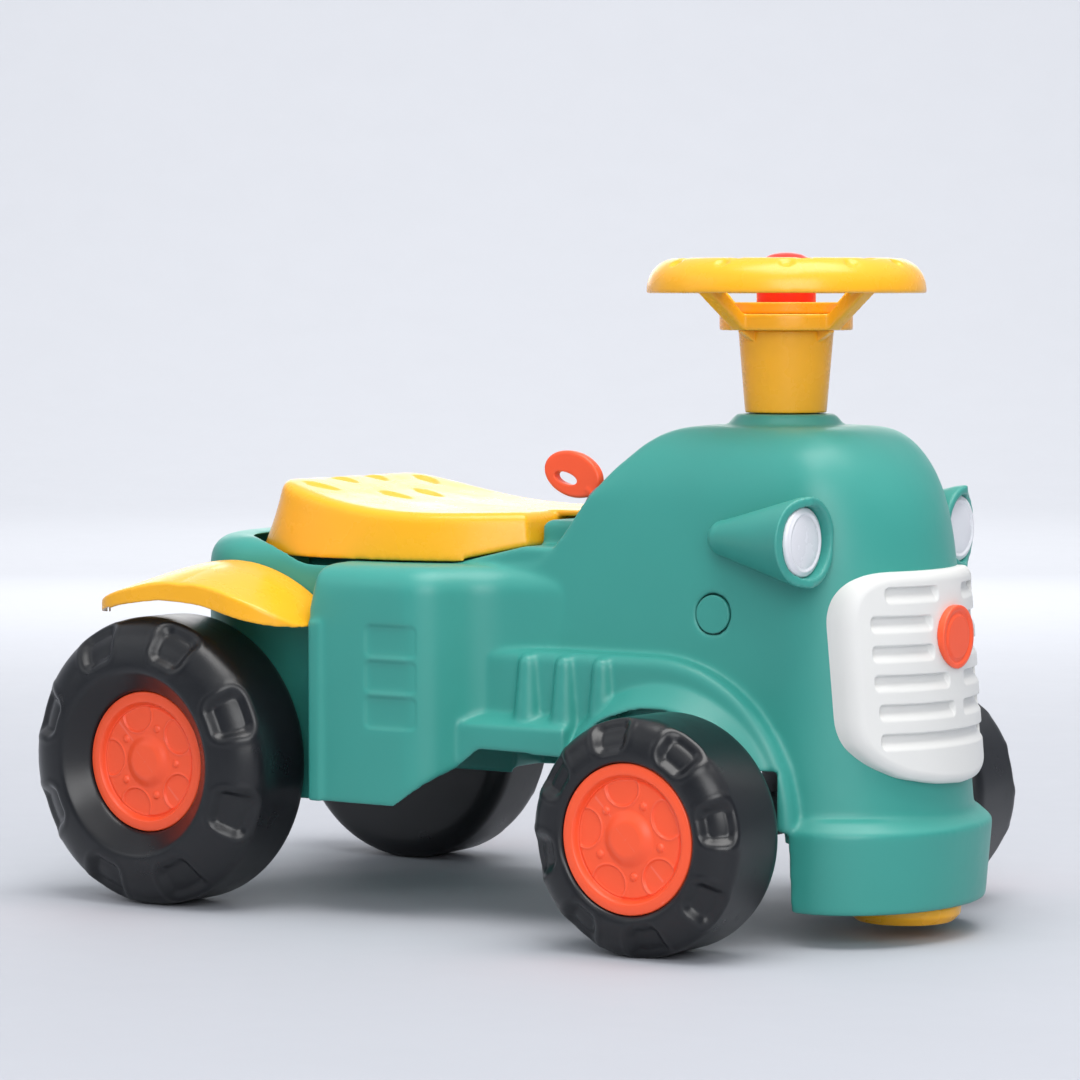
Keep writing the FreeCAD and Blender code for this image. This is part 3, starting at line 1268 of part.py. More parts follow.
# Horn button in its dish, pressed up by a spring
flange_radius = t.horn_radius + t.horn_flange
flange_room = flange_radius + t.side_gap
guide_radius = t.horn_radius + t.running_fit
stop_height = t.horn_flange + t.horn_travel + t.side_gap
turned("horn_dish", [(flange_room, ZERO), (t.dish_radius, ZERO), (t.dish_radius, t.dish_height),
                     (guide_radius, t.dish_height), (guide_radius, stop_height), (flange_room, stop_height)],
       at(front_x, 0, dish_z))
bore = t.horn_radius - t.horn_wall
shoulder = t.horn_height - t.horn_dome
dome = [(t.horn_radius.times(wide), shoulder + t.horn_dome.times(high)) for wide, high in HORN_DOME_SHARES]
turned("horn_button", [(bore, ZERO), (flange_radius, ZERO), (flange_radius, t.horn_flange),
                       (t.horn_radius, t.horn_flange), (t.horn_radius, shoulder)] + dome
       + [(ZERO, t.horn_height), (ZERO, shoulder), (bore, shoulder)],
       at(front_x, 0, dish_z + d.horn_travel + d.side_gap / 2))
feature("horn_spring", horn_spring(), at(front_x, 0, dish_z + d.spring_wire * SPRING_SEAT_SHARE))

# Seat lid and its hinge pin
feature("seat_lid", seat_lid())
pin_half = t.hinge_barrel_half + t.side_gap + t.hinge_lug_width
keep(cylinder("seat_hinge_pin", t.hinge_pin_radius, pin_half.times(2),
              along_y(front_x - d.hinge_back, -pin_half.value, d.hinge_height)), "seat_hinge_pin")

# Ignition key in its collar on the dashboard
turned("key_collar", [(t.key_stem_radius + t.running_fit, ZERO), (t.key_collar_radius, ZERO),
                      (t.key_collar_radius - t.key_collar_chamfer, t.key_collar_rise),
                      (t.key_stem_radius + t.running_fit, t.key_collar_rise)], Placement(key_foot, key_turn))
feature("ignition_key", ignition_key(), Placement(key_foot, key_turn))

doc.recompute()
for item in doc.Objects:
    if "Invalid" in item.State or "Error" in item.State:
        raise RuntimeError(f"{item.Label} failed: {item.State}")
for item in nodes:
    if item.Shape.isNull() or not item.Shape.isValid() or not item.Shape.Solids:
        raise RuntimeError(f"{item.Label} has no valid solid")

os.makedirs("parts", exist_ok=True)
for item in nodes:
    item.Shape.exportStep(f"parts/{item.Label}.step")
    print(item.Label, len(item.Shape.Solids), round(item.Shape.Volume), "mm3")
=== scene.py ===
import json
import math

import bpy
import numpy as np
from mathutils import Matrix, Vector


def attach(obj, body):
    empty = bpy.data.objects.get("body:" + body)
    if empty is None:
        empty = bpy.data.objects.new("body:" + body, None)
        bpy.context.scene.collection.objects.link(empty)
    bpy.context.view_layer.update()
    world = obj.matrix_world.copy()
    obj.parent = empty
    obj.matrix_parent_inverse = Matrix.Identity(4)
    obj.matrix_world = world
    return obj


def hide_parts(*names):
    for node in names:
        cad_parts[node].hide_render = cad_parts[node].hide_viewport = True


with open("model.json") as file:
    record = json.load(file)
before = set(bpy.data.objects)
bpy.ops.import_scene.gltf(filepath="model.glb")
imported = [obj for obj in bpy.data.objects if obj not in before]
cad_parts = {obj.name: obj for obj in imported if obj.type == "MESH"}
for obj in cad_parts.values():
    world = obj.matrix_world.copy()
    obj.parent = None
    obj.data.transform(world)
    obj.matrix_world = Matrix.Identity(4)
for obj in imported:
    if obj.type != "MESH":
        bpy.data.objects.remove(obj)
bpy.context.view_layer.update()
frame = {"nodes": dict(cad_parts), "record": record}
nodes = frame["nodes"]
record = frame["record"]
body_of_node = {name: body for body, names in record["behaviour"]["bodies"].items() for name in names}
slot_of_node = {row["node"]: row["material_slot"] for row in record["subparts"]}

# Lengths are in millimetres; those of the stage, the lights and the camera are in metres
MM = 0.001
FRONT_X = 167.0
REAR_X = -204.0
HANDS = (("left", 1), ("right", -1))


# Materials

# Each noise has a scale and a detail
CLOUDS, PATCHES, SCUFFS, RIPPLES = (9.0, 3.0), (38.0, 5.0), (1.0, 6.0), (22.0, 1.0)
GRAIN_DETAIL = 2.0
STREAK_SCALES = (35.0, 260.0, 140.0)
MIDDLE_NOISE = (0.3, 0.7)
SCUFF_NOISE, SCUFF_GLOSS = (0.62, 0.80), 0.10
GLOSS_BELOW, GLOSS_ABOVE = 0.04, 0.05
EDGE_POINTINESS, PALE_SHARE = (0.515, 0.60), 0.15
GRAIN_DEPTH, RIPPLE_DEPTH = 0.0004, 0.004


def linear(red, green, blue):
    """Scene-linear colour of an sRGB colour given in 0 to 255."""
    shares = [channel / 255 for channel in (red, green, blue)]
    return tuple(s / 12.92 if s <= 0.04045 else ((s + 0.055) / 1.055) ** 2.4 for s in shares) + (1.0,)


def shade(color, share):
    return tuple(min(1.0, channel * share) for channel in color[:3]) + (1.0,)


def add(tree, kind, **values):
    """A shader node with its properties and unlinked inputs set."""
    node = tree.nodes.new(kind)
    for name, value in values.items():
        if hasattr(node, name):
            setattr(node, name, value)
        else:
            node.inputs[name.replace("_", " ")].default_value = value
    return node


def noise(tree, coordinates, scale, detail):
    node = add(tree, "ShaderNodeTexNoise", Scale=scale, Detail=detail)
    tree.links.new(coordinates, node.inputs["Vector"])
    return node.outputs["Fac"]


def spread(tree, value, low, high, to_low, to_high):
    """The value's range from low to high, mapped onto another range."""
    node = tree.nodes.new("ShaderNodeMapRange")
    for name, number in (("From Min", low), ("From Max", high), ("To Min", to_low), ("To Max", to_high)):
        node.inputs[name].default_value = number
    tree.links.new(value, node.inputs["Value"])
    return node.outputs["Result"]


def mixed(tree, share, first, second):
    node = add(tree, "ShaderNodeMix", data_type="RGBA")
    tree.links.new(share, node.inputs["Factor"])
    for socket, color in ((node.inputs[6], first), (node.inputs[7], second)):
        if isinstance(color, tuple):
            socket.default_value = color
        else:
            tree.links.new(color, socket)
    return node.outputs[2]


def plastic(name, color, rough, grain=0.05, specular=0.5, wear=0.35, metallic=0.0, fine=1500.0,
            mottle=0.033, ripple=0.03):
    """Moulded plastic: cloudy colour, uneven gloss, fine grain, scuffs and paler worn edges."""
    material = bpy.data.materials.new(name)
    material.use_nodes = True
    tree = material.node_tree
    shader = tree.nodes["Principled BSDF"]
    shader.inputs["Specular IOR Level"].default_value = specular
    shader.inputs["Metallic"].default_value = metallic
    place = tree.nodes.new("ShaderNodeTexCoord").outputs["Object"]
    cloud = spread(tree, noise(tree, place, *CLOUDS), *MIDDLE_NOISE, 0.0, 1.0)
    tint = mixed(tree, cloud, shade(color, 1 - mottle), shade(color, 1 + mottle))
    point = tree.nodes.new("ShaderNodeNewGeometry").outputs["Pointiness"]
    edge = spread(tree, point, *EDGE_POINTINESS, 0.0, wear)
    pale = tuple((1 - PALE_SHARE) * channel + PALE_SHARE for channel in color[:3])
    worn = mixed(tree, edge, tint, shade(pale, 1.0))
    tree.links.new(worn, shader.inputs["Base Color"])
    patches = noise(tree, place, *PATCHES)
    streaks = tree.nodes.new("ShaderNodeMapping")
    streaks.inputs["Scale"].default_value = STREAK_SCALES
    tree.links.new(place, streaks.inputs["Vector"])
    scuffs = spread(tree, noise(tree, streaks.outputs["Vector"], *SCUFFS), *SCUFF_NOISE, 0.0, SCUFF_GLOSS)
    gloss = spread(tree, patches, *MIDDLE_NOISE, rough - GLOSS_BELOW, rough + GLOSS_ABOVE)
    total = add(tree, "ShaderNodeMath", operation="ADD")
    tree.links.new(gloss, total.inputs[0])
    tree.links.new(scuffs, total.inputs[1])
    tree.links.new(total.outputs[0], shader.inputs["Roughness"])
    bump = add(tree, "ShaderNodeBump", Strength=grain, Distance=GRAIN_DEPTH)
    tree.links.new(noise(tree, place, fine, GRAIN_DETAIL), bump.inputs["Height"])
    waves = add(tree, "ShaderNodeBump", Strength=ripple, Distance=RIPPLE_DEPTH)
    tree.links.new(noise(tree, place, *RIPPLES), waves.inputs["Height"])
    tree.links.new(waves.outputs["Normal"], bump.inputs["Normal"])
    tree.links.new(bump.outputs["Normal"], shader.inputs["Normal"])
    return material


MATERIALS = {
    "shell_green": plastic("shell_green", linear(58, 152, 141), 0.40, grain=0.06),
    "trim_yellow": plastic("trim_yellow", linear(252, 180, 32), 0.27),
    "hub_orange": plastic("hub_orange", linear(252, 90, 48), 0.36),
    "horn_red": plastic("horn_red", linear(232, 44, 20), 0.30),
    "grille_grey": plastic("grille_grey", linear(222, 222, 219), 0.42, wear=0.1),
    "lens_white": plastic("lens_white", linear(226, 227, 232), 0.25, wear=0.1),
    "tyre_black": plastic("tyre_black", linear(19, 21, 25), 0.31, grain=0.05, wear=0.05),
    "bush_grey": plastic("bush_grey", linear(120, 122, 126), 0.5),
    "axle_steel": plastic("axle_steel", linear(170, 172, 176), 0.32, metallic=1.0),
}


def dress(obj, material):
    obj.data.materials.clear()
    obj.data.materials.append(material)


for name, obj in nodes.items():
    dress(obj, MATERIALS[slot_of_node[name]])


# Pieces and meshes

def piece_of(name, mesh, body, slot, replaced=()):
    """A new piece that rides on a body and stands for the named CAD nodes."""
    obj = bpy.data.objects.new(name, mesh)
    bpy.context.scene.collection.objects.link(obj)
    mesh.polygons.foreach_set("use_smooth", np.ones(len(mesh.polygons), dtype=bool))
    dress(obj, MATERIALS[slot])
    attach(obj, body)
    if replaced:
        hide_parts(*replaced)
    return obj


def stand_in(node, mesh):
    return piece_of(f"{node}_skin", mesh, body_of_node[node], slot_of_node[node], [node])


def coordinates(mesh):
    flat = np.empty(len(mesh.vertices) * 3, dtype=np.float32)
    mesh.vertices.foreach_get("co", flat)
    return flat.reshape(-1, 3).astype(float)


def set_coordinates(mesh, points):
    mesh.vertices.foreach_set("co", points.astype(np.float32).ravel())
    mesh.update()


def normals(mesh):
    flat = np.empty(len(mesh.vertices) * 3, dtype=np.float32)
    mesh.vertex_normals.foreach_get("vector", flat)
    return flat.reshape(-1, 3).astype(float)


def relax(mesh, rounds, weights=None):
    """Laplacian smoothing of the mesh, stronger where the weights are larger."""
    edges = np.empty(len(mesh.edges) * 2, dtype=np.int32)
    mesh.edges.foreach_get("vertices", edges)
    first, second = edges.reshape(-1, 2).T
    points = coordinates(mesh)
    total = len(points)
    degree = np.bincount(first, minlength=total) + np.bincount(second, minlength=total)
    step = 0.5 if weights is None else 0.5 * weights
    for _ in range(rounds):
        for axis in range(3):
            values = points[:, axis]
            mean = np.bincount(first, weights=values[second], minlength=total)
            mean += np.bincount(second, weights=values[first], minlength=total)
            points[:, axis] = values + step * (mean / np.maximum(degree, 1) - values)
    set_coordinates(mesh, points)


def skin(node, voxel, rounds):
    """A softened copy of a CAD node: its edges are rounded as a moulding's are."""
    obj = bpy.data.objects.new(f"{node}_skin", nodes[node].data.copy())
    bpy.context.scene.collection.objects.link(obj)
    modifier = obj.modifiers.new("remesh", "REMESH")
    modifier.mode = "VOXEL"
    modifier.voxel_size = voxel * MM
    evaluated = obj.evaluated_get(bpy.context.evaluated_depsgraph_get())
    mesh = bpy.data.meshes.new_from_object(evaluated)
    bpy.data.objects.remove(obj)
    relax(mesh, rounds)
    mesh.name = f"{node}_skin"
    return mesh


def smooth_step(low, high, values):
    share = np.clip((values - low) / (high - low), 0.0, 1.0)
    return share * share * (3 - 2 * share)


def ridge(values, middle, spread_out):
    """A bell curve of height 1 about a middle value."""
    return np.exp(-((values - middle) / spread_out) ** 2)


def rounded_box(along, across, half_long, half_wide, round_off):
    """Signed distance to a rounded rectangle, negative inside."""
    a, b = np.abs(along) - half_long + round_off, np.abs(across) - half_wide + round_off
    outside = np.hypot(np.maximum(a, 0), np.maximum(b, 0))
    return outside + np.minimum(np.maximum(a, b), 0) - round_off


def resampled(corners, pitch, rounds):
    """A polyline through the corners at an even pitch, with its corners rounded."""
    corners = np.array(corners, dtype=float)
    lengths = np.concatenate([[0.0], np.cumsum(np.linalg.norm(np.diff(corners, axis=0), axis=1))])
    count = int(lengths[-1] / pitch) + 1
    places = np.linspace(0.0, lengths[-1], count)
    line = np.stack([np.interp(places, lengths, corners[:, axis]) for axis in range(2)], axis=1)
    for _ in range(rounds):
        line[1:-1] = 0.25 * line[:-2] + 0.5 * line[1:-1] + 0.25 * line[2:]
    return line


def ring_quads(rings, columns):
    """Faces between closed rings of points, numbered ring by ring."""
    ring, column = np.meshgrid(np.arange(rings - 1), np.arange(columns), indexing="ij")
    ahead = (column + 1) % columns
    return np.stack([ring * columns + column, ring * columns + ahead, (ring + 1) * columns + ahead,
                     (ring + 1) * columns + column], axis=2).reshape(-1, 4)


def mesh_of(name, points, faces):
    mesh = bpy.data.meshes.new(name)
    mesh.from_pydata(points, [], faces)
    mesh.update()
    return mesh


# Body shell, with the shallow squares of the hips

SHELL_VOXEL, SHELL_ROUNDS = 1.3, 11
HIP_MIN_Y, HIP_X, HIP_LOW_Z, HIP_PITCH, HIP_ROWS = 120, -39.0, 127.75, 22.0, 3
HIP_HALF_LONG, HIP_HALF_HIGH, HIP_ROUND, HIP_DEPTH = 18.5, 9.75, 3.5, 0.9
HIP_SLOPE, HIP_FACING = (0.5, -0.9), 0.8
CROWN_Z, CROWN_REACH, CROWN_X, CROWN_ROUNDS = (215, 245), (44, 56), (70, 100), 160
CORNER_REAR_X, CORNER_FRONT_X, CORNER_Z, CORNER_Y = (-150, -122), (-62, -90), (188, 205), (70, 92)
RIM_REAR_X, RIM_FRONT_X, RIM_Z, RIM_SHARE = (-232, -215), (-100, -120), (200, 212), 0.6
CORNER_ROUNDS = 90


def body_shell():
    shell = skin("body_shell", SHELL_VOXEL, SHELL_ROUNDS)
    points = coordinates(shell) / MM
    hip = (np.abs(normals(shell)[:, 1]) > HIP_FACING) & (np.abs(points[:, 1]) > HIP_MIN_Y)
    for row in range(HIP_ROWS):
        edge = rounded_box(points[:, 0] - HIP_X, points[:, 2] - HIP_LOW_Z - HIP_PITCH * row,
                           HIP_HALF_LONG, HIP_HALF_HIGH, HIP_ROUND)
        points[:, 1] -= np.sign(points[:, 1]) * hip * HIP_DEPTH * smooth_step(*HIP_SLOPE, edge)
    set_coordinates(shell, points * MM)
    around = np.hypot(points[:, 0] - FRONT_X, points[:, 1])
    crown = smooth_step(*CROWN_Z, points[:, 2]) * smooth_step(*CROWN_REACH, around)
    crown *= smooth_step(*CROWN_X, points[:, 0])
    relax(shell, CROWN_ROUNDS, crown)
    x, y, z = (coordinates(shell) / MM).T
    corner = smooth_step(*CORNER_REAR_X, x) * smooth_step(*CORNER_FRONT_X, x)
    corner *= smooth_step(*CORNER_Z, z) * smooth_step(*CORNER_Y, np.abs(y))
    rim = smooth_step(*RIM_REAR_X, x) * smooth_step(*RIM_FRONT_X, x)
    rim *= smooth_step(*RIM_Z, z)
    relax(shell, CORNER_ROUNDS, np.maximum(corner, RIM_SHARE * rim))
    stand_in("body_shell", shell)


body_shell()


# Seat lid, with a rear end that leans forward and drop-shaped dimples in its top

SEAT_VOXEL, SEAT_ROUNDS, SEAT_LAST_ROUNDS = 1.0, 15, 2
SEAT_LEAN, SEAT_FOOT_Z, SEAT_RISE, SEAT_LEAN_X = 15.0, 222.0, 43.0, (-148, -198)
DIMPLES = [(-143, -58, 20), (-143, 58, -20), (-157, -18, 8), (-157, 18, -8), (-113, -18, 6), (-113, 18, -6)]
DIMPLE_HALF_LONG, DIMPLE_HALF_WIDE, DIMPLE_TAPER_SHARE, DIMPLE_LEAST_HALF = 12.0, 7.0, 0.22, 2.0
DIMPLE_DEPTH, DIMPLE_EDGE_SHARES = 1.8, (1.15, 0.55)
DIMPLE_MIN_Z, DIMPLE_FACING = 236, 0.5


def seat_lid():
    seat = skin("seat_lid", SEAT_VOXEL, SEAT_ROUNDS)
    points = coordinates(seat) / MM
    raised = np.clip((points[:, 2] - SEAT_FOOT_Z) / SEAT_RISE, 0, 1)
    points[:, 0] += SEAT_LEAN * raised * smooth_step(*SEAT_LEAN_X, points[:, 0])
    set_coordinates(seat, points * MM)
    sunk = np.zeros(len(points))
    for x, y, turn in DIMPLES:
        angle = math.radians(turn)
        along = (points[:, 0] - x) * math.cos(angle) + (points[:, 1] - y) * math.sin(angle)
        across = (points[:, 1] - y) * math.cos(angle) - (points[:, 0] - x) * math.sin(angle)
        width = np.maximum(DIMPLE_HALF_WIDE - DIMPLE_TAPER_SHARE * along, DIMPLE_LEAST_HALF)
        reach = np.hypot(along / DIMPLE_HALF_LONG, across / width)
        sunk = np.maximum(sunk, DIMPLE_DEPTH * smooth_step(*DIMPLE_EDGE_SHARES, reach))
    top = (normals(seat)[:, 2] > DIMPLE_FACING) & (points[:, 2] > DIMPLE_MIN_Z)
    points[:, 2] -= sunk * top
    set_coordinates(seat, points * MM)
    relax(seat, SEAT_LAST_ROUNDS)
    stand_in("seat_lid", seat)


seat_lid()


# Trim with softened edges: node, voxel and rounds of smoothing

SOFT_TRIM = [
    ("grille_badge", 0.5, 4), ("side_plug_left", 0.5, 3), ("side_plug_right", 0.5, 3),
    ("front_skid_foot", 0.9, 6), ("steering_column", 0.8, 4), ("horn_dish", 0.7, 4),
    ("horn_button", 0.6, 4), ("ignition_key", 0.4, 8), ("key_collar", 0.4, 4),
]
for node, voxel, rounds in SOFT_TRIM:
    stand_in(node, skin(node, voxel, rounds))


# Mudguards, drawn down towards their outer edge; the tables go from the front end, 0, to the tail, 1

FENDER_VOXEL, FENDER_ROUNDS = 0.9, 12
FENDER_FRONT_X, FENDER_LONG, FENDER_FOOT_Z, FENDER_HIGH = FRONT_X - 268.0, 152.0, 180.0, 36.0
FENDER_ROOT_Y, FENDER_WIDE, FENDER_BEND = 93.0, 70.0, 1.7
FENDER_LEAST_HIGH = 4.0
FENDER_TOP_SHARES = [(0.0, 0.0), (0.08, 0.33), (0.24, 0.74), (0.42, 0.97), (0.56, 1.0), (0.78, 0.80),
                     (1.0, 0.34)]
FENDER_EDGE_SHARES = [(0.0, -0.06), (0.18, 0.08), (0.38, 0.30), (0.60, 0.36), (0.82, 0.24), (1.0, 0.02)]
FENDER_DROOP = [(0.0, 3.0), (0.25, 8.0), (0.5, 12.0), (0.75, 10.0), (1.0, 5.0)]
TAIL_SHARE, TAIL_LIFT = 0.88, 1.6


def mudguard(hand):
    node = f"fender_{hand}"
    guard = skin(node, FENDER_VOXEL, FENDER_ROUNDS)
    points = coordinates(guard) / MM
    along = (FENDER_FRONT_X - points[:, 0]) / FENDER_LONG
    top = FENDER_FOOT_Z + FENDER_HIGH * np.interp(along, *zip(*FENDER_TOP_SHARES))
    low = FENDER_FOOT_Z + FENDER_HIGH * np.interp(along, *zip(*FENDER_EDGE_SHARES))
    share = np.clip((points[:, 2] - low) / np.maximum(top - low, FENDER_LEAST_HIGH), 0, 1)
    out = np.clip((np.abs(points[:, 1]) - FENDER_ROOT_Y) / FENDER_WIDE, 0, 1) ** FENDER_BEND
    points[:, 2] -= np.interp(along, *zip(*FENDER_DROOP)) * out * share
    tail = along > TAIL_SHARE
    points[tail, 2] = np.maximum(points[tail, 2], low[tail] + TAIL_LIFT)
    set_coordinates(guard, points * MM)
    stand_in(node, guard)


for hand, _ in HANDS:
    mudguard(hand)


# Steering wheel: spokes turned as in the photo, finger dents on the rim, gussets under the hub ring

WHEEL_VOXEL, WHEEL_ROUNDS = 0.9, 7
SPOKES = 4
SPOKE_TURN = math.radians(-14.2)
DENTS, DENT_FIRST, DENT_PITCH = 12, -59.2, 30.0
DENT_INSET, DENT_DROP, DENT_DEPTH = 8.0, 2.0, 1.7
DENT_REACH, DENT_SQUEEZE = (6.0, 2.0), (1.0, 1.0, 0.8)
GUSSET_ROOT, GUSSET_TIP, GUSSET_TIP_HIGH, GUSSET_HIGH, GUSSET_THICK = 27.0, 39.0, 1.0, 7.5, 4.0
GUSSET_BEVEL = 0.6


def steering_wheel():
    wheel = skin("steering_wheel", WHEEL_VOXEL, WHEEL_ROUNDS)
    points = coordinates(wheel) / MM
    ahead, aside = points[:, 0] - FRONT_X, points[:, 1].copy()
    points[:, 0] = FRONT_X + ahead * math.cos(SPOKE_TURN) - aside * math.sin(SPOKE_TURN)
    points[:, 1] = ahead * math.sin(SPOKE_TURN) + aside * math.cos(SPOKE_TURN)
    set_coordinates(wheel, points * MM)
    facing = normals(wheel)
    reach = np.hypot(points[:, 0] - FRONT_X, points[:, 1]).max() - DENT_INSET
    height = points[:, 2].max() - DENT_DROP
    for index in range(DENTS):
        angle = math.radians(DENT_FIRST + DENT_PITCH * index)
        spot = np.array([FRONT_X + reach * math.cos(angle), reach * math.sin(angle), height])
        near = np.linalg.norm((points - spot) / DENT_SQUEEZE, axis=1)
        points -= facing * (DENT_DEPTH * smooth_step(*DENT_REACH, near))[:, None]
    set_coordinates(wheel, points * MM)
    stand_in("steering_wheel", wheel)


def gusset(name, angle, corners):
    """A flat fin in an upright plane through the steering axis; corners are (reach, height)."""
    middle = np.array([FRONT_X, 0.0, 0.0])
    out = np.array([math.cos(angle), math.sin(angle), 0.0])
    across = np.array([-math.sin(angle), math.cos(angle), 0.0])
    points = [middle + out * reach + np.array([0.0, 0.0, height]) + across * side
              for side in (-GUSSET_THICK / 2, GUSSET_THICK / 2) for reach, height in corners]
    count = len(corners)
    faces = [tuple(range(count))[::-1], tuple(range(count, 2 * count))]
    faces += [(i, (i + 1) % count, count + (i + 1) % count, count + i) for i in range(count)]
    mesh = mesh_of(name, [tuple(point * MM) for point in points], faces)
    obj = piece_of(name, mesh, "steering", "trim_yellow")
    mesh.polygons.foreach_set("use_smooth", np.zeros(len(mesh.polygons), dtype=bool))
    modifier = obj.modifiers.new("edge", "BEVEL")
    modifier.width, modifier.segments = GUSSET_BEVEL * MM, 2


steering_wheel()
column_top = coordinates(nodes["steering_column"].data)[:, 2].max() / MM
for index in range(SPOKES):
    gusset(f"hub_gusset_{index}", SPOKE_TURN + index * math.pi / 2,
           [(GUSSET_ROOT, column_top), (GUSSET_TIP, column_top), (GUSSET_TIP, column_top - GUSSET_TIP_HIGH),
            (GUSSET_ROOT, column_top - GUSSET_HIGH)])


# Headlamps: the housing's rim stands well ahead of a domed lens inside a raised ring

LENS_VOXEL, LENS_ROUNDS, HOUSING_VOXEL, HOUSING_ROUNDS = 0.5, 4, 0.7, 6
LENS_RING_RADIUS, LENS_RING_WIDE, LENS_RING_HIGH = 17.2, 1.1, 0.9
LENS_DOME_RADIUS, LENS_DOME_HIGH, LENS_FACING = 15.4, 1.3, 0.5
LAMP_RIM_OUT, LAMP_RIM_AHEAD, LAMP_RIM_REACH = 6.0, (-1.0, 4.0), (16.0, 19.0)


def headlamp(hand):
    node = f"headlight_lens_{hand}"
    lens = skin(node, LENS_VOXEL, LENS_ROUNDS)
    points = coordinates(lens) / MM
    middle = (points.min(axis=0) + points.max(axis=0)) / 2
    axis = np.linalg.svd(points - points.mean(axis=0), full_matrices=False)[2][2]
    axis *= np.sign(axis[0])

    def ahead_and_reach(places):
        off = places - middle
        ahead = off @ axis
        return ahead, np.linalg.norm(off - np.outer(ahead, axis), axis=1)

    reach = ahead_and_reach(points)[1]
    dome = np.sqrt(np.clip(1 - (reach / LENS_DOME_RADIUS) ** 2, 0, 1))
    rise = LENS_RING_HIGH * ridge(reach, LENS_RING_RADIUS, LENS_RING_WIDE) + LENS_DOME_HIGH * dome
    points += np.outer(rise * (normals(lens) @ axis > LENS_FACING), axis)
    set_coordinates(lens, points * MM)
    stand_in(node, lens)
    node = f"headlight_housing_{hand}"
    housing = skin(node, HOUSING_VOXEL, HOUSING_ROUNDS)
    points = coordinates(housing) / MM
    ahead, reach = ahead_and_reach(points)
    rim = smooth_step(*LAMP_RIM_AHEAD, ahead) * smooth_step(*LAMP_RIM_REACH, reach)
    points += np.outer(LAMP_RIM_OUT * rim, axis)
    set_coordinates(housing, points * MM)
    stand_in(node, housing)


for hand, _ in HANDS:
    headlamp(hand)


# Grille: a plate on the bonnet's bow with a rounded border and scooped louvres

GRILLE_HALF, GRILLE_LOW, GRILLE_HIGH, GRILLE_MIDDLE_Z = 71.5, 94.0, 221.0, 160.0
GRILLE_PROUD, GRILLE_EDGE_PROUD, GRILLE_SUNK, GRILLE_ROUND = 8.0, 3.0, -1.0, 6.5
GRILLE_PITCH, GRILLE_EDGE_ROUNDS = 0.9, 40
GRILLE_EDGE_SHARES = [(0.0, 0.0), (0.34, 0.01), (0.66, 0.045), (0.86, 0.11), (0.97, 0.19), (1.0, 0.28),
                      (1.0, 0.80), (0.97, 0.89), (0.90, 0.955), (0.78, 0.99), (0.64, 1.0), (0.0, 1.0)]
GRILLE_RING_SHARES = np.concatenate([np.linspace(0.004, 0.86, 130), np.linspace(0.863, 1.0, 44)])
LOUVRE_SHARES = [(0.20, 0.74), (0.30, 0.86), (0.30, 0.86), (0.12, 0.86), (0.07, 0.84), (0.0, 0.84)]
LOUVRE_TOP_GAP, LOUVRE_PITCH, LOUVRE_MIDDLE, LOUVRE_HALF_HIGH, LOUVRE_ROUND = 8.0, 17.2, 5.5, 5.6, 4.2
LOUVRE_DEPTH, LOUVRE_LIP, LOUVRE_RAMP, LOUVRE_SIDE = 3.4, (0.2, 1.5), (3.5, 11.0), (0.3, -1.4)
BOW_FOOT_Z, BOW_HIGH, BOW_BEHIND = 60.0, 167.0, 45.0
BOW_NOSE, BOW_NOSE_LEAN, BOW_HALF, BOW_HALF_LEAN = 75.0, 15.0, 83.0, 6.0
BOW_STEPS, BOW_REACH = 400, 80.0


def bow_front(y, z, proud):
    """How far forward the bonnet's front lies, with a plate of the given thickness on it."""
    lean = (z - BOW_FOOT_Z) / BOW_HIGH
    nose, half = BOW_NOSE - BOW_NOSE_LEAN * lean + proud, BOW_HALF - BOW_HALF_LEAN * lean + proud
    return FRONT_X + BOW_BEHIND + nose * np.sqrt(np.clip(1 - (y / half) ** 2, 0, 1))


def unrolled(y):
    """Distance along the bow from its middle to a place across it."""
    across = np.linspace(-BOW_REACH, BOW_REACH, 2 * BOW_STEPS + 1)
    front = bow_front(across, GRILLE_MIDDLE_Z, GRILLE_PROUD)
    run = np.concatenate([[0.0], np.cumsum(np.hypot(np.diff(across), np.diff(front)))])
    return np.interp(y, across, run - run[BOW_STEPS])


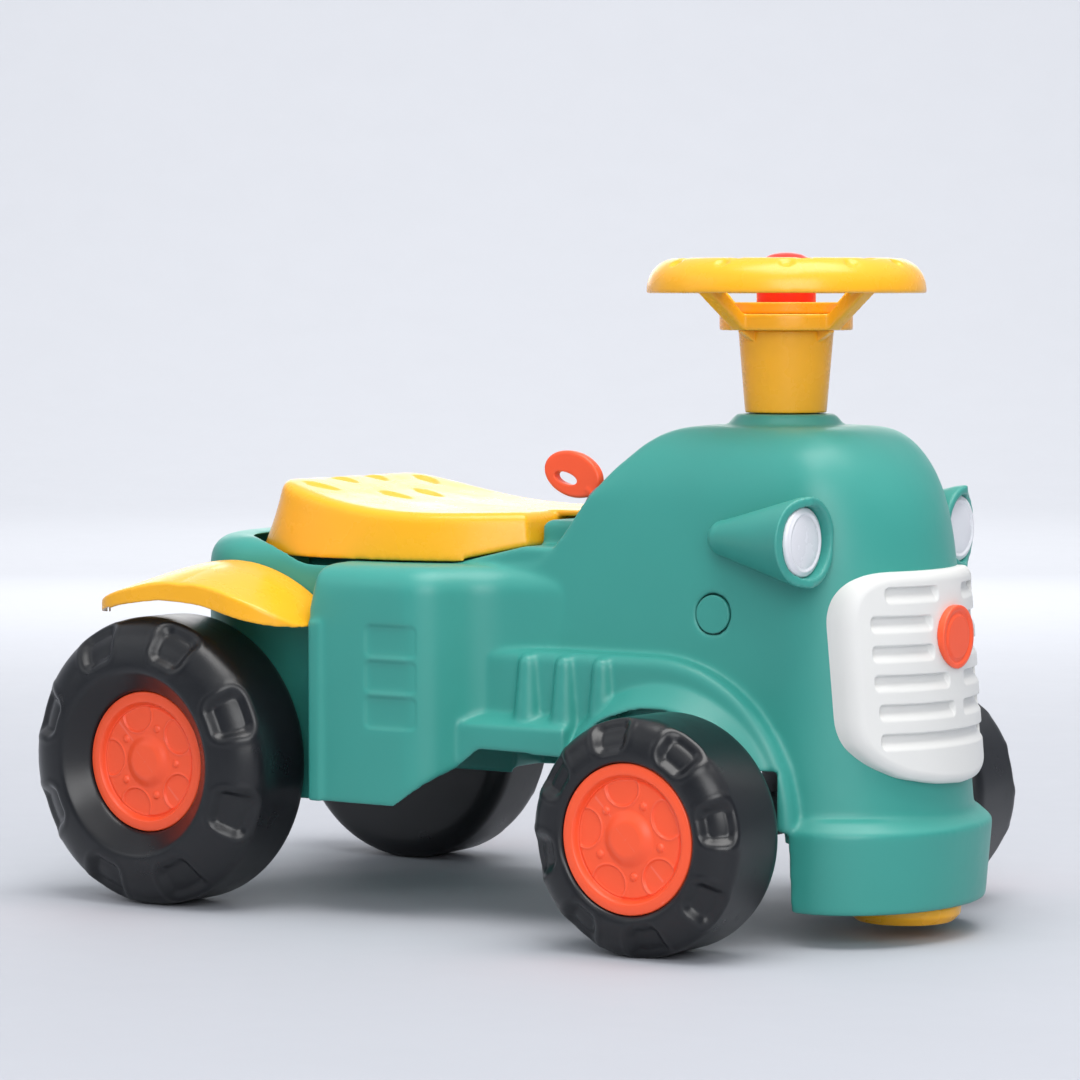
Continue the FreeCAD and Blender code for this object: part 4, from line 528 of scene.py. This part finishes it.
def grille():
    right = [(GRILLE_HALF * wide, GRILLE_LOW + (GRILLE_HIGH - GRILLE_LOW) * high)
             for wide, high in GRILLE_EDGE_SHARES]
    edge = resampled(right + [(-y, z) for y, z in right[-2::-1]], GRILLE_PITCH, GRILLE_EDGE_ROUNDS)[:-1]
    middle = np.array([0.0, GRILLE_MIDDLE_Z])
    places = middle + GRILLE_RING_SHARES[:, None, None] * (edge - middle)[None, :, :]
    y, z = places[:, :, 0], places[:, :, 1]
    along = unrolled(y)
    border_along, border_z = unrolled(edge[:, 0]), edge[:, 1]
    inside = np.empty_like(y)
    for ring in range(len(y)):
        gap = np.hypot(along[ring][:, None] - border_along[None, :], z[ring][:, None] - border_z[None, :])
        inside[ring] = gap.min(axis=1)
    inside[-1] = 0.0
    swell = np.sqrt(1 - (1 - np.clip(inside / GRILLE_ROUND, 0, 1)) ** 2)
    height = GRILLE_EDGE_PROUD + (GRILLE_PROUD - GRILLE_EDGE_PROUD) * swell
    for row, (near, end) in enumerate(LOUVRE_SHARES):
        down = GRILLE_HIGH - LOUVRE_TOP_GAP - LOUVRE_PITCH * row - z
        low, high = unrolled(GRILLE_HALF * near), unrolled(GRILLE_HALF * end)
        centre, half = ((low + high) / 2, (high - low) / 2) if near > 0 else (0.0, high)
        out = rounded_box((np.abs(along) if near > 0 else along) - centre, down - LOUVRE_MIDDLE,
                          half, LOUVRE_HALF_HIGH, LOUVRE_ROUND)
        scoop = smooth_step(*LOUVRE_LIP, down) * (1 - smooth_step(*LOUVRE_RAMP, down))
        height -= LOUVRE_DEPTH * scoop * smooth_step(*LOUVRE_SIDE, out)
    y, z = np.vstack([y, y[-1:]]), np.vstack([z, z[-1:]])
    height = np.vstack([height, np.full((1, len(edge)), GRILLE_SUNK)])
    points = np.stack([bow_front(y, z, height), y, z], axis=2).reshape(-1, 3) * MM
    rings, columns = y.shape
    faces = ring_quads(rings, columns)[:, ::-1].tolist() + [tuple(range(columns))]
    stand_in("grille", mesh_of("grille_skin", points.tolist(), faces))


grille()


# Wheels

# Each tyre's radius, width, inset of its hub, lip radius, shoulder depth and pocket size
TYRES = {"front": (70.0, 63.0, 1.5, 48.0, 14.0, 25.0), "rear": (91.0, 66.0, 13.0, 58.5, 22.0, 29.0)}
# Each wheel's x, outer face and height, and the turns of its pockets and bolts in degrees
PLACES = {"front": (FRONT_X, 180.0, 70.0, 12.0, 63.0), "rear": (REAR_X, 175.0, 91.0, 25.0, 71.0)}
HUB_DEPTH = 9.0
TYRE_COLUMNS, TYRE_PITCH, TYRE_ROUNDS, SHOULDER_POINTS = 384, 1.1, 3, 24
TYRE_SEAT_RADIUS, TYRE_WEB_RADIUS, TYRE_BORE_RADIUS = 44.4, 30.0, 8.2
TYRE_BACK_ROUND, TYRE_BACK_DEPTH = 14.0, 10.0
POCKETS, POCKET_TURN_SHARE, POCKET_ROUND, POCKET_FADE_SHARES = 8, 0.46, 8.0, (1.1, 0.8)
POCKET_DEPTH, POCKET_SLOPE = 4.6, (1.4, -5.5)
POCKET_RIM_HIGH, POCKET_RIM_AT, POCKET_RIM_WIDE = 0.35, 3.0, 1.6


def quarter(face_radius, face_depth, crown_radius, crown_depth):
    """A quarter ellipse from a tyre's face to its crown, as (radius, depth)."""
    turns = np.linspace(0.0, math.pi / 2, SHOULDER_POINTS)
    return [(face_radius + (crown_radius - face_radius) * math.sin(turn),
             crown_depth + (face_depth - crown_depth) * math.cos(turn)) for turn in turns]


def full_turn(columns):
    return np.linspace(0.0, 2 * math.pi, columns, endpoint=False)


def polar_mesh(name, radii, heights, centre, side):
    """A mesh of rings: radii and heights are arrays of rings by columns; heights point outwards along Y."""
    rings, columns = radii.shape
    angles = full_turn(columns)[None, :]
    x = centre[0] + radii * np.cos(angles)
    z = centre[2] + radii * np.sin(angles)
    y = centre[1] + side * heights
    points = np.stack([x, y, z], axis=2).reshape(-1, 3) * MM
    quads = ring_quads(rings, columns)
    if side > 0:
        quads = quads[:, ::-1]
    return mesh_of(name, points.tolist(), quads.tolist())


def tyre(name, sizes, centre, side, turn):
    """Tyre turned from its section, with square pockets sunk into the outer shoulder."""
    radius, width, inset, lip, shoulder, pocket = sizes
    deep = inset + HUB_DEPTH
    corners = [(TYRE_WEB_RADIUS, deep), (TYRE_SEAT_RADIUS, deep), (TYRE_SEAT_RADIUS, inset)]
    corners += quarter(lip, 0.0, radius, shoulder)
    corners += quarter(radius - TYRE_BACK_ROUND, width, radius, width - TYRE_BACK_DEPTH)[::-1]
    corners += [(TYRE_BORE_RADIUS, width)]
    line = resampled(corners, TYRE_PITCH, TYRE_ROUNDS)
    steps = np.concatenate([[0.0], np.cumsum(np.linalg.norm(np.diff(line, axis=0), axis=1))])
    tangent = np.gradient(line, axis=0)
    tangent /= np.linalg.norm(tangent, axis=1)[:, None]
    out_r, out_d = tangent[:, 1], -tangent[:, 0]
    tilt = POCKET_TURN_SHARE * math.pi / 2
    place = (lip + (radius - lip) * math.sin(tilt), shoulder - shoulder * math.cos(tilt))
    start = np.argmin(np.linalg.norm(line - np.array(place), axis=1))
    pitch = 2 * math.pi / POCKETS
    off = (full_turn(TYRE_COLUMNS) - math.radians(turn) + pitch / 2) % pitch - pitch / 2
    along = (steps - steps[start])[:, None]
    across = (place[0] * off)[None, :]
    edge = rounded_box(along, across, pocket / 2, pocket / 2, POCKET_ROUND)
    lift = POCKET_RIM_HIGH * ridge(edge, POCKET_RIM_AT, POCKET_RIM_WIDE)
    lift -= POCKET_DEPTH * smooth_step(*POCKET_SLOPE, edge)
    fade_far, fade_near = POCKET_FADE_SHARES
    lift *= smooth_step(pocket * fade_far, pocket * fade_near, np.abs(along))
    radii = np.minimum(line[:, 0][:, None] + out_r[:, None] * lift, radius)
    depths = np.maximum(line[:, 1][:, None] + out_d[:, None] * lift, 0.0)
    return polar_mesh(name, radii, -depths, centre, side)


HUB_COLUMNS, HUB_RINGS, HUB_EDGE_RINGS, HUB_EDGE_TURNS = 400, 130, 10, (0.05, 1.57)
HUB_REACH, HUB_FLAT_REACH, HUB_EDGE_ROUND, HUB_EDGE_DROP, HUB_FOOT = 44.2, 43.0, 1.2, 1.4, 0.2
HUB_WEB = 6.0
HUB_RIM, HUB_RIM_FLAT, HUB_RIM_MIDDLE, HUB_RIM_HALF, HUB_RIM_CROWN = (35.2, 38.0), 37.0, 40.0, 3.0, 0.35
HUB_GROOVE_RADIUS, HUB_GROOVE_WIDE, HUB_GROOVE_DEPTH = 35.2, 0.9, 1.1
HUB_DOME_RADIUS, HUB_DOME_HIGH, HUB_DOME_SHARE = 17.5, 3.6, 0.75
HUB_SPOKES, BOLT_REACH, BOLT_RADIUS, BOLT_HIGH = 5, 22.0, 2.5, 1.5
PETAL_REACH, PETAL_RADIUS, PETAL_WIDE_SHARE, PETAL_DEPTH, PETAL_SLOPE = 29.5, 10.5, 1.1, 0.9, (0.5, -1.0)
PETAL_END, PETAL_RIDGE_END, PETAL_RIDGE_HIGH, PETAL_RIDGE_WIDE = (33.5, 34.6), (33.5, 34.8), 0.75, 0.7


def hub_cap(name, centre, side, turn):
    """Hub cap in polar form: broad rim, groove, petal recesses with ridges, bolts and a dome."""
    turns = np.linspace(*HUB_EDGE_TURNS, HUB_EDGE_RINGS)
    round_over = HUB_REACH - HUB_EDGE_ROUND + HUB_EDGE_ROUND * np.sin(turns)
    rings = np.concatenate([np.linspace(0.0, HUB_FLAT_REACH, HUB_RINGS), round_over])
    r = np.repeat(rings[:, None], HUB_COLUMNS, axis=1)
    level = np.full_like(r, HUB_WEB)
    rim = smooth_step(*HUB_RIM, r)
    level += (HUB_DEPTH - HUB_WEB) * rim
    crown = (np.clip(r, HUB_RIM_FLAT, HUB_FLAT_REACH) - HUB_RIM_MIDDLE) / HUB_RIM_HALF
    level -= HUB_RIM_CROWN * crown ** 2 * rim
    level -= HUB_GROOVE_DEPTH * ridge(r, HUB_GROOVE_RADIUS, HUB_GROOVE_WIDE)
    dome = np.clip(1 - (r / HUB_DOME_RADIUS) ** 2, 0, 1)
    level += HUB_DOME_HIGH * smooth_step(0.0, HUB_DOME_SHARE, dome)
    pitch = 2 * math.pi / HUB_SPOKES
    angles = full_turn(HUB_COLUMNS) - math.radians(turn)
    bolt = (angles + pitch / 2) % pitch - pitch / 2
    bolt_x, bolt_y = r * np.cos(bolt)[None, :] - BOLT_REACH, r * np.sin(bolt)[None, :]
    level += BOLT_HIGH * np.sqrt(np.clip(1 - (bolt_x ** 2 + bolt_y ** 2) / BOLT_RADIUS ** 2, 0, 1))
    petal = angles % pitch - pitch / 2
    petal_x, petal_y = r * np.cos(petal)[None, :] - PETAL_REACH, r * np.sin(petal)[None, :]
    away = np.hypot(petal_x, petal_y / PETAL_WIDE_SHARE) - PETAL_RADIUS
    level -= PETAL_DEPTH * smooth_step(*PETAL_SLOPE, away) * (1 - smooth_step(*PETAL_END, r))
    level += PETAL_RIDGE_HIGH * ridge(away, 0.0, PETAL_RIDGE_WIDE) * (1 - smooth_step(*PETAL_RIDGE_END, r))
    drop = np.clip((r - HUB_FLAT_REACH) / HUB_EDGE_ROUND, 0, 1)
    level -= HUB_EDGE_DROP * (1 - np.sqrt(np.clip(1 - drop ** 2, 0, 1)))
    r = np.vstack([r, np.full((1, HUB_COLUMNS), HUB_REACH)])
    level = np.vstack([level, np.full((1, HUB_COLUMNS), HUB_FOOT)])
    return polar_mesh(name, r[::-1], level[::-1], centre, side)


for end, sizes in TYRES.items():
    x, face, height, pocket_turn, bolt_turn = PLACES[end]
    hub_inset = sizes[2]
    for hand, side in HANDS:
        body = f"wheel_{end}_{hand}"
        mesh = tyre(f"tyre_{end}_{hand}_skin", sizes, (x, side * face, height), side, pocket_turn)
        piece_of(mesh.name, mesh, body, "tyre_black", [f"tyre_{end}_{hand}"])
        hub_floor = side * (face - hub_inset - HUB_DEPTH)
        mesh = hub_cap(f"hub_cap_{end}_{hand}_skin", (x, hub_floor, height), side, bolt_turn)
        piece_of(mesh.name, mesh, body, "hub_orange", [f"hub_cap_{end}_{hand}"])


# Stage, light and camera

STAGE_COLUMNS, STAGE_CURVE_POINTS = 96, 24
STAGE_FLAT_RADII = (0.02, 2.0, 4.0)
STAGE_CURVE_FOOT, STAGE_CURVE_RADIUS, STAGE_WALL_HIGH = 5.0, 3.0, 4.2
STAGE_COLOR, STAGE_ROUGH = linear(180, 183, 190), 0.75


def bowl(name):
    """A pale floor that sweeps up into a wall all round, so no horizon shows."""
    profile = [(radius, 0.0) for radius in STAGE_FLAT_RADII]
    profile += [(STAGE_CURVE_FOOT + STAGE_CURVE_RADIUS * math.sin(turn),
                 STAGE_CURVE_RADIUS - STAGE_CURVE_RADIUS * math.cos(turn))
                for turn in np.linspace(0.0, math.pi / 2, STAGE_CURVE_POINTS)]
    profile += [(STAGE_CURVE_FOOT + STAGE_CURVE_RADIUS, STAGE_WALL_HIGH)]
    points = [(r * math.cos(a), r * math.sin(a), z) for r, z in profile for a in full_turn(STAGE_COLUMNS)]
    quads = ring_quads(len(profile), STAGE_COLUMNS)[:, [0, 3, 2, 1]]
    mesh = mesh_of(name, points, [tuple(range(STAGE_COLUMNS))] + quads.tolist())
    mesh.polygons.foreach_set("use_smooth", np.ones(len(mesh.polygons), dtype=bool))
    obj = bpy.data.objects.new(name, mesh)
    bpy.context.scene.collection.objects.link(obj)
    dress(obj, plastic(name, STAGE_COLOR, STAGE_ROUGH, 0.1, specular=0.2, wear=0.0, fine=220.0,
                       mottle=0.006, ripple=0.0))


bowl("floor")

# Area lights: name, place, target, size, watts, colour and whether the camera sees the panel
LIGHTS = [
    ("key", (0.5, -0.2, 2.4), (0, 0, 0.2), (2.0, 1.6), 52.0, (1.0, 0.98, 0.96), True),
    ("fill", (1.9, -2.2, 1.3), (0.1, 0, 0.2), (2.0, 1.6), 42.0, (1.0, 1.0, 1.0), True),
    ("side", (-2.0, -2.0, 1.3), (0, 0, 0.2), (1.8, 1.8), 6.0, (0.97, 0.99, 1.0), True),
    ("backdrop", (-1.6, 2.4, 4.0), (-3.9, 5.7, 0.8), (3.0, 1.5), 310.0, (1.0, 0.975, 0.93), True),
    ("sheen", (-1.7, 2.5, 0.95), (0, 0, 0.25), (2.2, 0.8), 11.0, (1.0, 0.99, 0.97), False),
]
for name, place, target, size, watts, color, seen in LIGHTS:
    data = bpy.data.lights.new(name, "AREA")
    data.shape = "RECTANGLE"
    data.size, data.size_y = size
    data.energy = watts
    data.color = color
    obj = bpy.data.objects.new(name, data)
    bpy.context.scene.collection.objects.link(obj)
    obj.location = place
    obj.rotation_euler = (Vector(target) - Vector(place)).to_track_quat("-Z", "Y").to_euler()
    obj.visible_camera = seen

WORLD_COLOR, WORLD_STRENGTH = (0.93, 0.95, 1.0, 1.0), 0.70
world = bpy.data.worlds.new("studio")
bpy.context.scene.world = world
world.use_nodes = True
background = world.node_tree.nodes["Background"]
background.inputs["Color"].default_value = WORLD_COLOR
background.inputs["Strength"].default_value = WORLD_STRENGTH

CAMERA_SENSOR, CAMERA_LENS = 36.0, 139.6
CAMERA_PLACE = (1.4733, -2.1939, 0.3787)
CAMERA_DOWN, CAMERA_ROUND = 3.23, 34.13
camera_data = bpy.data.cameras.new("camera")
camera_data.sensor_width = CAMERA_SENSOR
camera_data.lens = CAMERA_LENS
camera = bpy.data.objects.new("camera", camera_data)
bpy.context.scene.collection.objects.link(camera)
camera.location = CAMERA_PLACE
camera.rotation_euler = (math.radians(90 - CAMERA_DOWN), 0.0, math.radians(CAMERA_ROUND))
bpy.context.scene.camera = camera
bpy.context.scene.view_settings.view_transform = "Standard"
bpy.context.scene.view_settings.look = "None"
